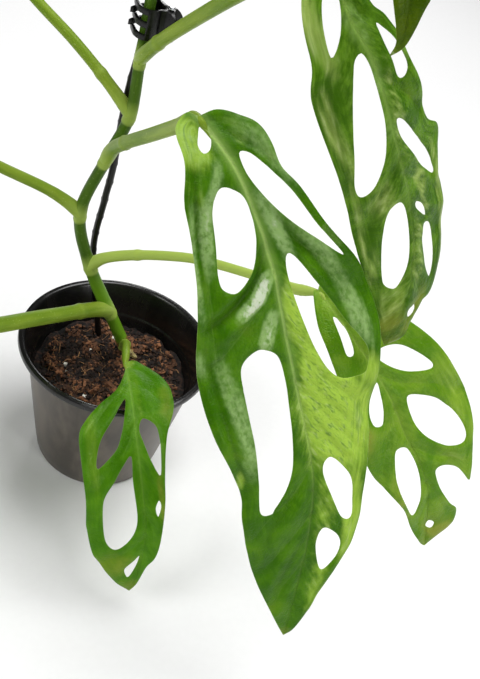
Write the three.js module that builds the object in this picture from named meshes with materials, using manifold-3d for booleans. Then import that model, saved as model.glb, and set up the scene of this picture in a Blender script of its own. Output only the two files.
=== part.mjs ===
// A climbing monstera adansonii in a nursery pot, tied to a stake by a claw clip.
// Millimetres, +Z up, origin at the middle of the pot's underside, the leaves' show side towards -Y.
import * as THREE from 'three';
import { mergeVertices } from 'three/addons/utils/BufferGeometryUtils.js';
import Module from 'manifold-3d';

const wasm = await Module();
wasm.setup();

// ---------------------------------------------------------------- driving dimensions, mm
const GAP = 0.3; // between pieces that touch

const POT = {
  rimRadius: 52.5,
  height: 80,
  baseRadius: 34.6,
  wall: 1.3,
  floor: 1.8,
  lipWidth: 4,
  lipDrop: 3.6,
  neckRadius: 47.7,
  stepHeight: 62,
  stepDepth: 0.7,
  lipRound: 1,
  footRound: 1.5,
  drainRadius: 4,
  drainCircle: 23,
  drains: 6,
  sides: 48,
};

const MIX = {
  surface: 57.5,
  edgeDrop: 0.8,
  relief: 1.3,
  rings: 6,
  sides: 24,
  chips: 18,
  chipLong: [4, 9],
  chipWide: [3, 5],
  chipThick: 2.6,
  chipTilt: 0.35, // radians, either way
  chipRise: [0.6, 1.4], // of a chip's middle over the surface
  chipsIn: 7, // from the pot's wall
};

const STEM = {
  baseRadius: 3.7,
  topRadius: 2.3,
  nodeSwell: 0.45,
  nodeLength: 4,
  holeDepth: 20,
  sides: 10,
  steps: 44,
  slimFrom: 0.97, // share of its length where the tip slims down
  slimTo: 0.55,
  thinning: 0.75,
};

const ROOT_STUB = { below: 3, thick: 1.3, thin: 0.7, sides: 6, steps: 3 };

const STAKE = { radius: 1.5, bottom: 14, sides: 8, steps: 26 };

const STALK = {
  end: 4, // along the midrib, under the blade
  clear: 0.15, // under the blade, besides the gap
  piece: 11, // length of a straight piece
  sides: 8,
  thinFrom: 1.6, // how fast a stalk thins
  joint: { at: 0.93, width: 0.06, swell: 0.35 }, // the thicker joint before the blade
};

const BLADE = 0.8; // thickness of a leaf
const OUTLINE_STEP = 6.5; // along a leaf's edges
const INNER_STEP = 9.5; // between the points inside a leaf
const MIDRIB_CLEAR = 1.2; // from a midrib's points to a leaf's edges

const CLIP = {
  x: -17.2,
  y: 9.1,
  z: 259.5,
  height: 14,
  innerA: 5.1,
  innerB: 5.7,
  thick: 1.4,
  hingeX: 8.5,
  knuckle: 2.1,
  pin: 0.75,
  gripLength: 5.5,
  gripAngle: 34,
  gripThick: 1.2,
  gripRound: 8.3, // radius of the ball that rounds the grips' ends
  prong: 2.4,
  prongPitch: 2.9,
  backFrom: 20, // degrees round the stem, from the hinge
  prongFrom: 76,
  backTo: 84,
  prongTo: 196,
  flareFrom: 150,
  flare: 2.2, // how far the prongs' ends turn outwards
  headRadius: 1.5,
  headThick: 0.8,
};

// ---------------------------------------------------------------- materials
const finish = (color, roughness, metalness = 0) =>
  () => new THREE.MeshStandardMaterial({ color, roughness, metalness });

const potPlastic = finish(0x1d1b1a, 0.42);
const barkMix = finish(0x3a2418, 0.95);
const stemGreen = finish(0x5d7f2c, 0.5);
const petioleGreen = finish(0x8aa94b, 0.45);
const leafGreen = finish(0x3f7d22, 0.38);
const youngGreen = finish(0x8fb84a, 0.4);
const blackPlastic = finish(0x141414, 0.35);
const springSteel = finish(0xb9bcc0, 0.3, 1);

// ---------------------------------------------------------------- small helpers
const vec = ([x, y, z]) => new THREE.Vector3(x, y, z);
const curveThrough = (points) => new THREE.CatmullRomCurve3(points.map(vec), false, 'catmullrom', 0.5);

function toSolid(geometry) {
  const bare = geometry.clone();
  bare.deleteAttribute('normal');
  bare.deleteAttribute('uv');
  const merged = mergeVertices(bare, 1e-4);
  return new wasm.Manifold(new wasm.Mesh({
    numProp: 3,
    vertProperties: new Float32Array(merged.attributes.position.array),
    triVerts: new Uint32Array(merged.index.array),
  }));
}

function toGeometry(solid) {
  const mesh = solid.getMesh();
  const geometry = new THREE.BufferGeometry();
  geometry.setAttribute('position', new THREE.BufferAttribute(mesh.vertProperties, 3));
  geometry.setIndex(new THREE.BufferAttribute(mesh.triVerts, 1));
  return geometry;
}

const root = new THREE.Group();

function place(name, geometry, material) {
  const shape = geometry.clone();
  shape.computeVertexNormals();
  const mesh = new THREE.Mesh(shape, material());
  mesh.name = name;
  root.add(mesh);
  return mesh;
}

// A round rod along a curve, closed at both ends; radius(u) is given for u from 0 to 1. It can be grown
// on all sides, its ends too.
function rod(curve, radius, sides, steps, grow = 0) {
  const positions = [];
  const index = [];
  const frames = curve.computeFrenetFrames(steps, false);
  const centres = Array.from({ length: steps + 1 }, (_, i) => curve.getPointAt(i / steps));
  centres[0].addScaledVector(frames.tangents[0], -grow);
  centres[steps].addScaledVector(frames.tangents[steps], grow);
  for (let i = 0; i <= steps; i++) {
    const r = radius(i / steps) + grow;
    for (let k = 0; k < sides; k++) {
      const angle = (2 * Math.PI * k) / sides;
      const point = centres[i].clone()
        .addScaledVector(frames.normals[i], r * Math.cos(angle))
        .addScaledVector(frames.binormals[i], r * Math.sin(angle));
      positions.push(point.x, point.y, point.z);
    }
  }
  for (let i = 0; i < steps; i++) {
    for (let k = 0; k < sides; k++) {
      const next = (k + 1) % sides;
      const a = i * sides + k;
      const b = i * sides + next;
      const c = a + sides;
      const d = b + sides;
      index.push(a, b, d, a, d, c);
    }
  }
  for (const [ring, turned] of [[0, true], [steps, false]]) {
    const hub = positions.length / 3;
    positions.push(...centres[ring].toArray());
    for (let k = 0; k < sides; k++) {
      const a = ring * sides + k;
      const b = ring * sides + ((k + 1) % sides);
      index.push(hub, turned ? b : a, turned ? a : b);
    }
  }
  const geometry = new THREE.BufferGeometry();
  geometry.setAttribute('position', new THREE.Float32BufferAttribute(positions, 3));
  geometry.setIndex(index);
  return geometry;
}

const mix = (a, b, t) => a + (b - a) * t;
const bump = (x, width) => Math.exp(-((x / width) ** 2));

// The same spread of numbers on every run, each from 0 to 1.
function seeded(seed) {
  let state = seed;
  return () => {
    state = (state * 16807) % 2147483647;
    return state / 2147483647;
  };
}

// ---------------------------------------------------------------- pot
// Radius of the outer wall at a height: a straight taper from the base to the neck under the lip.
function wallRadius(z) {
  return mix(POT.baseRadius, POT.neckRadius, z / (POT.height - POT.lipDrop));
}

// Radius of the inside: above the step the wall is a little thinner.
function innerRadius(z) {
  const step = z > POT.stepHeight ? POT.stepDepth : 0;
  return wallRadius(z) - POT.wall - (step ? 0 : POT.stepDepth);
}

function buildPot() {
  const skirt = POT.height - POT.lipDrop;
  const lipInner = POT.rimRadius - POT.lipWidth;
  const round = POT.lipRound;
  const step = POT.stepHeight;
  const ramp = POT.stepDepth / 2;
  const profile = [
    [0, 0],
    [POT.baseRadius - POT.footRound, 0],
    [POT.baseRadius, POT.footRound],
    [POT.neckRadius, skirt],
    [POT.rimRadius - round, skirt],
    [POT.rimRadius, skirt + round],
    [POT.rimRadius, POT.height - round],
    [POT.rimRadius - round, POT.height - 0.2 * round],
    [POT.rimRadius - 2 * round, POT.height],
    [lipInner + 0.6 * round, POT.height - 0.5 * round],
    [lipInner - 0.2 * round, POT.height - 2 * round],
    [innerRadius(step + ramp), step + ramp],
    [innerRadius(step - ramp), step - ramp],
    [innerRadius(POT.floor), POT.floor],
    [0, POT.floor],
  ].map(([r, z]) => new THREE.Vector2(r, z));
  const shell = new THREE.LatheGeometry(profile, POT.sides);
  shell.rotateX(Math.PI / 2);
  let solid = toSolid(shell);
  for (let k = 0; k < POT.drains; k++) {
    const angle = (2 * Math.PI * k) / POT.drains;
    const drain = new THREE.CylinderGeometry(POT.drainRadius, POT.drainRadius, 3 * POT.floor, 16);
    drain.rotateX(Math.PI / 2);
    drain.translate(POT.drainCircle * Math.cos(angle), POT.drainCircle * Math.sin(angle), 0);
    solid = solid.subtract(toSolid(drain));
  }
  return toGeometry(solid);
}

// ---------------------------------------------------------------- stem
// The stem bends at each node; a leaf stalk leaves from every one of them.
const NODES = {
  soil: [3, 18.5, 58],
  one: [1.9, 16, 64.5],
  two: [-9.6, 12, 88.8],
  three: [-23.6, 9, 117.3],
  four: [-32.8, 7, 149.1],
  five: [-24.5, 6, 185.2],
  six: [-17, 6, 212.5],
  seven: [-17.2, 6, 241.3],
  eight: [-17.6, 8, 276],
  nine: [-14, 9.5, 308],
};
const STEM_LINE = curveThrough([
  [4.5, 21, 58 - STEM.holeDepth],
  ...Object.values(NODES),
  [-12, 9, 330],
]);
const STEM_NODES = Object.values(NODES).slice(1).map((point) => nearestAlong(STEM_LINE, vec(point)));

function nearestAlong(curve, point) {
  let best = 0;
  for (let i = 0; i <= 600; i++) {
    const closer = curve.getPointAt(i / 600).distanceTo(point) < curve.getPointAt(best).distanceTo(point);
    best = closer ? i / 600 : best;
  }
  return best;
}

function stemRadius(u) {
  const length = STEM_LINE.getLength();
  const swell = STEM_NODES.reduce((sum, node) => sum + bump((u - node) * length, STEM.nodeLength), 0);
  const slim = Math.max(0, (u - STEM.slimFrom) / (1 - STEM.slimFrom));
  const plain = mix(STEM.baseRadius, STEM.topRadius, u ** STEM.thinning);
  return (plain + STEM.nodeSwell * Math.min(swell, 1)) * mix(1, STEM.slimTo, slim);
}

// Stubs of aerial roots on the stem, just under some of the nodes: node, direction, length.
const ROOT_STUBS = [
  ['one', [0.9, -0.1, -0.2], 3.5],
  ['three', [0, 0.9, -0.5], 5],
  ['five', [-0.1, 0.9, -0.5], 4.5],
];

function buildStem() {
  let solid = toSolid(rod(STEM_LINE, stemRadius, STEM.sides, STEM.steps));
  for (const [node, direction, length] of ROOT_STUBS) {
    const start = vec(NODES[node]).add(new THREE.Vector3(0, 0, -ROOT_STUB.below));
    const end = start.clone().addScaledVector(vec(direction).normalize(), STEM.baseRadius + length);
    const line = new THREE.CatmullRomCurve3([start, start.clone().lerp(end, 0.5), end]);
    const radius = (u) => mix(ROOT_STUB.thick, ROOT_STUB.thin, u);
    solid = solid.add(toSolid(rod(line, radius, ROOT_STUB.sides, ROOT_STUB.steps)));
  }
  return toGeometry(solid);
}

// The stem, swollen by the gap, cuts the stalks and the potting mix.
const stemCutter = toSolid(rod(STEM_LINE, stemRadius, STEM.sides, STEM.steps, GAP));

// ---------------------------------------------------------------- stake
const STAKE_LINE = curveThrough([
  [-11.5, 29, STAKE.bottom],
  [-15.8, 26, 58.7],
  [-25.5, 20, 117.5],
  [-23.7, 16, 155.4],
  [-22, 14, 176.8],
  [-21, 12, 222.5],
  [-16.3, 12.3, 266],
  [-11, 15, 312],
  [-5, 19, 352],
]);
const stakeRadius = (u) => (u > 0.99 ? STAKE.radius * 0.7 : STAKE.radius);

// ---------------------------------------------------------------- potting mix
function buildMix() {
  const random = seeded(7);
  const rim = innerRadius(MIX.surface - MIX.edgeDrop) - GAP;
  const foot = innerRadius(POT.floor) - GAP;
  const floor = POT.floor + GAP;
  const positions = [0, 0, MIX.surface];
  const index = [];
  for (let ring = 1; ring <= MIX.rings; ring++) {
    const r = (rim * ring) / MIX.rings;
    for (let k = 0; k < MIX.sides; k++) {
      const angle = (2 * Math.PI * (k + 0.5 * (ring % 2))) / MIX.sides;
      const edge = ring === MIX.rings;
      const lift = edge ? -MIX.edgeDrop : MIX.relief * (2 * random() - 1);
      positions.push(r * Math.cos(angle), r * Math.sin(angle), MIX.surface + lift);
    }
  }
  const at = (ring, k) => 1 + (ring - 1) * MIX.sides + ((k + MIX.sides) % MIX.sides);
  for (let k = 0; k < MIX.sides; k++) {
    index.push(0, at(1, k), at(1, k + 1));
    for (let ring = 1; ring < MIX.rings; ring++) {
      const shift = ring % 2;
      const a = at(ring, k);
      const b = at(ring, k + 1);
      const c = at(ring + 1, k + shift);
      const d = at(ring + 1, k + 1 + shift);
      index.push(a, c, b, b, c, d);
    }
  }
  const low = positions.length / 3;
  for (let k = 0; k < MIX.sides; k++) {
    const angle = (2 * Math.PI * (k + 0.5 * (MIX.rings % 2))) / MIX.sides;
    positions.push(foot * Math.cos(angle), foot * Math.sin(angle), floor);
  }
  const hub = positions.length / 3;
  positions.push(0, 0, floor);
  for (let k = 0; k < MIX.sides; k++) {
    const next = (k + 1) % MIX.sides;
    index.push(at(MIX.rings, k), low + k, low + next, at(MIX.rings, k), low + next, at(MIX.rings, next));
    index.push(hub, low + next, low + k);
  }
  const geometry = new THREE.BufferGeometry();
  geometry.setAttribute('position', new THREE.Float32BufferAttribute(positions, 3));
  geometry.setIndex(index);
  let solid = toSolid(geometry);
  for (let i = 0; i < MIX.chips; i++) {
    const angle = 2 * Math.PI * random();
    const r = (rim - MIX.chipsIn) * Math.sqrt(random());
    const [long, wide] = [MIX.chipLong, MIX.chipWide].map(([low, high]) => mix(low, high, random()));
    const chip = new THREE.BoxGeometry(long, wide, MIX.chipThick);
    chip.rotateX(MIX.chipTilt * (2 * random() - 1));
    chip.rotateY(MIX.chipTilt * (2 * random() - 1));
    chip.rotateZ(Math.PI * random());
    const height = MIX.surface + mix(...MIX.chipRise, random());
    chip.translate(r * Math.cos(angle), r * Math.sin(angle), height);
    solid = solid.add(toSolid(chip));
  }
  const stakeCutter = toSolid(rod(STAKE_LINE, stakeRadius, STAKE.sides, STAKE.steps, GAP));
  return toGeometry(solid.subtract(stemCutter).subtract(stakeCutter));
}

// ---------------------------------------------------------------- leaf blades
// A leaf's own plane: s runs along the midrib from its base, t across it, right of the midrib positive.
// Each pattern is one leaf as it grew: both edges from base to tip, and the holes.
const PATTERNS = {
  long: {
    left: [
      [0, 0], [-3.5, -3], [-2.5, -9], [1, -12], [9, -15], [22, -23.5], [41.5, -27], [60, -31],
      [84, -36], [101, -38], [120, -38], [140, -34], [159.5, -31], [174.5, -31], [194.5, -26],
      [210.5, -19], [231, -6.5], [241, 0],
    ],
    right: [
      [0, 0], [2, 7], [8.5, 12.5], [16.5, 17], [30, 16.5], [38.5, 19.5], [55.5, 25], [71.5, 35],
      [85, 38.5], [97, 39], [109, 37], [124, 33.5], [133, 29], [150, 25], [166.5, 22], [185.5, 21],
      [195.5, 18], [210, 12.5], [226, 7.5], [237, 3.5], [241, 0],
    ],
    holes: [
      [[3, -2], [6, -0.5], [9.5, -1.5], [12, -4.5], [11.5, -7], [8, -7], [5.5, -5]],
      [[26.5, -8.5], [29, -4.5], [34, -1.5], [43, -1.5], [53, -4], [61, -8], [67, -16], [64.5, -21.5],
        [58, -22], [46, -19], [34, -16], [28, -12.5]],
      [[19, 4], [20, 7], [25, 10], [38, 16], [54, 21.5], [67, 29], [61, 22], [50, 12.5], [38, 6], [27, 3]],
      [[60.5, 6], [61, 9], [72, 15], [83.5, 21], [93, 25], [106, 31.5], [114.5, 30.5], [117.5, 27.5],
        [116.5, 19], [110, 13.5], [97, 9.5], [81, 6.5], [68, 5]],
      [[93, -14], [94, -9.5], [99, -5], [110, -4], [125, -5], [140, -7], [156, -10.5], [169, -16.5],
        [172.5, -18], [170, -23.5], [150.5, -23.5], [127.5, -22.5], [108, -22], [97.5, -20.5]],
      [[149.5, 8], [153, 12], [160, 16.5], [169.5, 17.5], [178, 17.5], [177, 13], [166, 7.5], [157, 4.5],
        [151.5, 5]],
      [[182.5, 6], [185, 12], [190, 15], [197, 14], [203.5, 9.5], [200, 6.5], [190, 4]],
    ],
  },
  narrow: {
    left: [
      [0, 0], [-2, -3], [1, -8], [10, -12.5], [23, -16], [31, -20.5], [43.5, -22], [66.5, -22],
      [85, -22], [104.5, -22], [119.5, -21], [139, -16.5], [157, -9.5], [170.5, 0],
    ],
    right: [
      [0, 0], [-1, 4], [3, 8.5], [10, 10.5], [18, 10.5], [26, 14], [41, 15.5], [51.5, 18], [62.5, 19.5],
      [75.5, 20], [84.5, 25.5], [90.5, 21.5], [98.5, 19], [108, 20], [125, 18.5], [146.5, 17],
      [152, 12.5], [160, 9.5], [168, 10.5], [170.5, 0],
    ],
    holes: [
      [[6.5, -3.5], [9, -1.5], [16, -2], [22, -5], [26, -10.5], [19, -9], [11, -6.5]],
      [[29.5, -3], [32, -1.5], [44, -1.5], [58, -2], [70, -5], [80, -11], [82.5, -16.5], [76.5, -17.5],
        [62, -14.5], [47, -11], [33, -6.5]],
      [[25.5, 9], [30, 11.5], [37, 13], [43, 14], [46.5, 13], [47.5, 10.5], [44.5, 8.5], [38.5, 7.5],
        [32, 7]],
      [[58.5, 3], [62, 6.5], [74, 11], [87.5, 15.5], [97.5, 16.5], [90, 11], [78, 6.5], [66, 3]],
      [[94, -4], [99, -2], [112, -1.5], [127, -2], [137, -4], [141, -6.5], [136, -11.5], [120, -13],
        [104, -11], [96, -8]],
      [[99.5, 3.5], [104, 7], [111.5, 9], [107, 5.5], [102, 3]],
      [[114, 7], [117, 11], [128, 12.5], [140.5, 13], [133, 7.5], [120, 5]],
      [[152, 5], [151.5, 8], [154.5, 9], [157, 6.5], [154.5, 4.5]],
    ],
  },
  broad: {
    left: [
      [0, 0], [-1, -2], [5, -6.5], [12.5, -10.5], [21.5, -13.5], [34, -16.5], [58, -21.5], [84, -23],
      [99, -21], [114, -17], [134, -10], [147, -3.5], [151, 0],
    ],
    right: [
      [0, 0], [-1.5, 2.5], [1, 7], [8, 12], [22, 20], [36.5, 26], [47.5, 30], [62.5, 33.5], [78.5, 37],
      [91.5, 35], [103, 29], [115.5, 24], [119.5, 22], [112.5, 17.5], [108.5, 12.5], [107, 8],
      [109.5, 5.5], [118.5, 6.5], [128, 12], [134, 17], [141, 15.5], [145, 8], [151, 0],
    ],
    holes: [
      [[38, 3.5], [38, 9], [42, 16], [49.5, 21], [58.5, 25], [60, 22], [55, 13], [47, 6.5]],
      [[50, -2], [57, -3.5], [66, -6.5], [70.5, -9], [68, -13], [61, -13], [54, -9]],
      [[65, 7], [67.5, 14], [74.5, 21.5], [87, 26], [98.5, 27], [102.5, 23], [99, 14.5], [90, 8.5],
        [77, 6]],
      [[86, -8], [88, -2.5], [95, -1.5], [106, -2], [118, -4.5], [128.5, -8], [123.5, -12],
        [111, -14.5], [97.5, -13.5]],
      [[136, 1.5], [138, 4.5], [141, 3], [139, 0]],
      [[13, -2], [18, 0], [25, -1], [32, -4], [30, -7.5], [21.5, -5]],
    ],
  },
  small: {
    left: [
      [0, 0], [12, -1.5], [25, -7], [34.5, -16], [42.5, -23.5], [50, -27.5], [65, -27.5], [81, -27.5],
      [98, -28.5], [115, -25], [125, -18], [133, -9], [138, 0],
    ],
    right: [
      [0, 0], [1, 5], [13, 13], [23, 18.5], [34.5, 20], [42.5, 19], [54.5, 14.5], [74, 11.5],
      [86, 10.5], [99, 8.5], [113, 7], [121, 3.5], [132.5, 2], [138, 0],
    ],
    holes: [
      [[32, -3.5], [43, -5], [52, -7.5], [59, -11], [66, -20], [60, -20], [52, -17], [43, -10.5]],
      [[44, 4], [48, 9.5], [54, 11], [62, 11], [73, 9.5], [66, 6], [56, 3], [49, 1.5]],
      [[62, -3.5], [75, -4], [92, -3.5], [101, -5], [109, -9], [113, -14], [107.5, -19], [95.5, -20.5],
        [82, -19], [73, -13], [66, -8]],
      [[85, 7.5], [88, 8.5], [93, 6.5], [89, 5.5]],
      [[115, -1], [118, -3], [124, -6.5], [128, -5], [129, -3], [122, -1.5]],
    ],
  },
  young: {
    left: [
      [0, 0], [-3, -4.5], [2, -10], [14, -17], [30, -21], [48, -22], [66, -19.5], [84, -15], [98, -10],
      [112, -5], [124, -1.5], [130, 0],
    ],
    right: [
      [0, 0], [-2.5, 4], [2, 10], [13, 18], [28, 23], [46, 23.5], [64, 21], [80, 17], [95, 11.5],
      [110, 6], [123, 2], [130, 0],
    ],
    holes: [
      [[18, -4], [21, -8], [30, -14], [36, -14.5], [34, -9], [26, -5]],
      [[42, -3.5], [45, -8], [56, -14], [62, -13], [58, -7], [50, -3]],
      [[66, -4], [70, -7], [79, -10.5], [83, -8.5], [76, -4.5]],
      [[28, 5], [31, 10], [42, 16.5], [48, 16], [44, 9], [36, 4.5]],
      [[53, 3.5], [57, 9], [67, 14], [72, 12.5], [66, 6.5], [60, 4]],
      [[78, 3], [82, 7], [90, 9], [92, 6.5], [86, 3.5]],
    ],
  },
};

// Each leaf: the stem node it grows from, the stalk's way points, the stalk's two radii, the midrib in
// space from base to tip, where the show side faces along it, the lift of both halves from the midrib
// and their droop. The pattern is as long as the midrib; mirrored swaps its left and right, width is
// its scale across.
const LEAVES = {
  1: {
    node: 'one', stalk: [[4, 6, 75], [7, -8, 83]], radii: [2.4, 1.7], pattern: 'small',
    spine: [[9.5, -21, 88], [16, -38, 92.5], [25, -59, 91.5], [34, -75, 80], [41.5, -85, 66],
      [47.5, -93, 51], [49.5, -99, 34], [48.5, -104, 15.5]],
    faces: [[-0.1, -0.1, 1], [0, -0.3, 0.9], [0.1, -0.8, 0.5], [0.2, -0.9, 0.3]],
    lift: 0.1, droop: 0.003,
  },
  2: {
    node: 'two', stalk: [[-15.5, 1.5, 96], [-28, -21, 105.5], [-38, -40.5, 114], [-47, -59, 122],
      [-58, -83, 134]],
    radii: [3.8, 3.9], pattern: 'broad', mirrored: true,
    spine: [[-73, -108, 146], [-86, -124, 140], [-100, -138, 120], [-110, -149, 93], [-118, -160, 63],
      [-122, -168, 30]],
    faces: [[-0.3, -0.4, 0.9], [-0.5, -0.65, 0.5], [-0.5, -0.8, 0.2]],
    lift: 0.1, droop: 0.004,
  },
  3: {
    node: 'three', stalk: [[-17, 7, 126.5], [-3, 3, 137], [15, -5, 149.5], [33, -14, 160.5],
      [58, -31, 174.5], [77.5, -43.5, 183.5]],
    radii: [2.7, 2.2], pattern: 'broad',
    spine: [[89, -49, 191], [103, -55, 183], [120, -59, 170], [136, -61, 154], [148, -63, 138.5],
      [160, -64, 125], [170, -66, 110], [175, -68, 94], [180, -71, 79]],
    faces: [[0.35, -0.6, 0.7], [0.45, -0.75, 0.45], [0.45, -0.7, 0.4]],
    lift: 0.1, droop: 0.003,
  },
  4: {
    node: 'four', stalk: [[-39, 5, 155], [-50.5, 0.5, 162.5], [-70.5, -9.5, 173.5], [-91.5, -21, 186.5]],
    radii: [2.9, 2.6], pattern: 'long', mirrored: true, width: 0.78,
    spine: [[-112, -31, 205], [-128, -42, 199], [-143, -52, 180], [-154, -61, 153], [-161, -69, 121],
      [-167, -75, 90], [-170, -78, 58]],
    faces: [[-0.3, -0.3, 0.9], [-0.65, -0.6, 0.45], [-0.7, -0.7, 0.15]],
    lift: 0.12, droop: 0.004,
  },
  5: {
    node: 'five', stalk: [[-21, 1.5, 195.5], [-12.5, -13.5, 210.5], [0.5, -33.5, 230], [13.5, -57, 251.5],
      [20, -70.5, 263.5]],
    radii: [3.1, 3], pattern: 'long',
    spine: [[24.5, -83, 274], [44, -88, 259], [63.5, -94.5, 234], [79.5, -102, 205], [92, -107.5, 181.5],
      [108.5, -115, 149.5], [116.5, -123.5, 118], [122, -138, 68.5]],
    faces: [[0.25, -0.62, 0.74], [0.41, -0.8, 0.44], [0.35, -0.9, 0.25]],
    lift: 0.12, droop: 0.003,
  },
  6: {
    node: 'six', stalk: [[-22, 7, 217.5], [-35, 10, 227], [-50.5, 12.5, 237.5], [-69, 13.5, 249.5],
      [-92.5, 15, 266]],
    radii: [2.7, 2.4], pattern: 'narrow', mirrored: true, width: 1.15,
    spine: [[-116, 18, 286], [-132, 17, 283], [-150, 15, 265], [-163, 12, 239], [-171, 8, 208],
      [-175, 4, 177], [-176, 0, 145]],
    faces: [[-0.4, -0.1, 0.9], [-0.85, -0.1, 0.45], [-0.95, -0.1, 0.1]],
    lift: 0.1, droop: 0.005,
  },
  7: {
    node: 'seven', stalk: [[-13.5, -1.5, 249.5], [-5, -12.5, 264], [9.5, -29.5, 285.5], [26.5, -52.5, 310.5],
      [41, -67, 328]],
    radii: [2.9, 3], pattern: 'narrow', width: 1.02,
    spine: [[54, -80, 342], [65, -86, 327], [78, -87, 314], [92.5, -82.5, 290], [108.5, -71, 259],
      [120, -64, 228.5], [123.5, -64, 205.5], [122.5, -65, 185.5]],
    faces: [[0.4, -0.75, 0.5], [0.67, -0.69, 0.28], [0.6, -0.8, 0.1]],
    lift: -0.36, droop: 0,
  },
  8: {
    node: 'eight', stalk: [[-23, 12, 284], [-34, 24, 300], [-46, 38, 321]],
    radii: [2.5, 2], pattern: 'young', mirrored: true,
    spine: [[-60, 54, 344], [-74, 64, 344], [-91, 76, 332], [-104, 86, 311], [-112, 93, 286],
      [-116, 98, 260], [-117, 101, 236]],
    faces: [[-0.3, 0.2, 0.95], [-0.65, 0.45, 0.6], [-0.8, 0.6, 0.15]],
    lift: 0.15, droop: 0.005,
  },
  9: {
    node: 'nine', stalk: [[-7, 4, 318], [8, -9, 338], [28, -26, 365], [48, -43, 396]],
    radii: [2.4, 2.1], pattern: 'young', width: 0.88,
    spine: [[66, -60, 426], [76, -70, 423], [83.5, -79, 408], [86, -85, 388], [83.5, -88.5, 369],
      [80, -90, 351.5], [81, -92.5, 341], [82.5, -93, 332.5], [83, -92.5, 326], [81, -91.5, 320.5]],
    faces: [[0.2, -0.3, 0.9], [0.3, -0.85, 0.5], [0.2, -0.95, 0.2]],
    lift: 0.15, droop: 0.004,
  },
};

const WAVE = { height: 1.5, length: 9, at: 30, lag: 2 }; // the rise and fall of a leaf's edge

// The blade's surface in space, and its normal, for any s and t.
function bladeSurface(leaf) {
  const spine = curveThrough(leaf.spine);
  const length = spine.getLength();
  const faces = leaf.faces.map(vec);
  const frameAt = (s) => {
    const u = THREE.MathUtils.clamp(s / length, 0, 1);
    const along = spine.getTangentAt(u);
    const middle = spine.getPointAt(u).addScaledVector(along, s - u * length);
    const q = u * (faces.length - 1);
    const i = Math.min(Math.floor(q), faces.length - 2);
    const up = faces[i].clone().lerp(faces[i + 1], q - i);
    up.addScaledVector(along, -up.dot(along)).normalize();
    return { middle, up, across: up.clone().cross(along) };
  };
  const point = (s, t) => {
    const { middle, up, across } = frameAt(s);
    const wave = WAVE.height * Math.sin(s / WAVE.length + (t > 0 ? WAVE.lag : 0)) * (t / WAVE.at) ** 2;
    const rise = leaf.lift * Math.abs(t) - leaf.droop * t * t + wave;
    return middle.addScaledVector(across, t).addScaledVector(up, rise);
  };
  const normal = (s, t) => {
    const e = 0.5;
    const alongS = point(s + e, t).sub(point(s - e, t));
    const alongT = point(s, t + e).sub(point(s, t - e));
    return alongS.cross(alongT).normalize();
  };
  return { point, normal, frameAt, length };
}

// Points along a smooth line through the given ones, about a step apart, the given ones included.
function traced(points, closed, step) {
  const line = new THREE.CatmullRomCurve3(points.map(([s, t]) => new THREE.Vector3(s, t, 0)),
    closed, 'catmullrom', 0.5);
  const spans = closed ? points.length : points.length - 1;
  const out = [];
  for (let i = 0; i < spans; i++) {
    const [a, b] = [points[i], points[(i + 1) % points.length]];
    const pieces = Math.max(1, Math.round(Math.hypot(b[0] - a[0], b[1] - a[1]) / step));
    for (let k = 0; k < pieces; k++) {
      const p = line.getPoint((i + k / pieces) / spans);
      out.push(new THREE.Vector2(p.x, p.y));
    }
  }
  return out;
}

const cross2 = (a, b, c) => (b.x - a.x) * (c.y - a.y) - (b.y - a.y) * (c.x - a.x);

function insideCircle(a, b, c, d) {
  const rows = [a, b, c].map((p) => [p.x - d.x, p.y - d.y, (p.x - d.x) ** 2 + (p.y - d.y) ** 2]);
  const [[ax, ay, aw], [bx, by, bw], [cx, cy, cw]] = rows;
  return ax * (by * cw - bw * cy) - ay * (bx * cw - bw * cx) + aw * (bx * cy - by * cx) > 1e-7;
}

// Turns the shared edge of two triangles wherever that makes them less thin.
function evenOut(points, faces) {
  for (let pass = 0; pass < 60; pass++) {
    const owner = new Map();
    let turned = 0;
    faces.forEach((face, f) => face.forEach((a, k) => owner.set(`${a},${face[(k + 1) % 3]}`, [f, k])));
    const busy = new Set();
    for (const [key, [f, k]] of owner) {
      const [a, b] = key.split(',').map(Number);
      const other = owner.get(`${b},${a}`);
      if (a > b || !other || busy.has(f) || busy.has(other[0])) continue;
      const c = faces[f][(k + 2) % 3];
      const d = faces[other[0]][(other[1] + 2) % 3];
      const [pa, pb, pc, pd] = [a, b, c, d].map((i) => points[i]);
      const convex = cross2(pc, pd, pb) > 1e-6 && cross2(pd, pc, pa) > 1e-6;
      if (!convex || !insideCircle(pa, pb, pc, pd)) continue;
      faces[f] = [c, d, b];
      faces[other[0]] = [d, c, a];
      busy.add(f).add(other[0]);
      turned++;
    }
    if (!turned) return;
  }
}

function distanceToRing(point, ring) {
  return Math.min(...ring.map((p) => p.distanceTo(point)));
}

function insideRing(point, ring) {
  let inside = false;
  for (let i = 0, j = ring.length - 1; i < ring.length; j = i++) {
    const [a, b] = [ring[i], ring[j]];
    const crosses = (a.y > point.y) !== (b.y > point.y);
    if (crosses && point.x < ((b.x - a.x) * (point.y - a.y)) / (b.y - a.y) + a.x) inside = !inside;
  }
  return inside;
}

// Fills a ring with holes by triangles: ears first, then the inner points, then evened out.
function fillOutline(rings, innerPoints) {
  const points = rings.flat();
  const faces = THREE.ShapeUtils.triangulateShape(rings[0], rings.slice(1))
    .map(([a, b, c]) => (cross2(points[a], points[b], points[c]) > 0 ? [a, b, c] : [a, c, b]));
  evenOut(points, faces);
  for (const p of innerPoints) {
    const f = faces.findIndex((face) => face.every((a, k) => (
      cross2(points[a], points[face[(k + 1) % 3]], p) > 1e-4)));
    if (f < 0) continue;
    const [a, b, c] = faces[f];
    const n = points.push(p) - 1;
    faces[f] = [a, b, n];
    faces.push([b, c, n], [c, a, n]);
  }
  evenOut(points, faces);
  return { points, faces };
}

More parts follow.
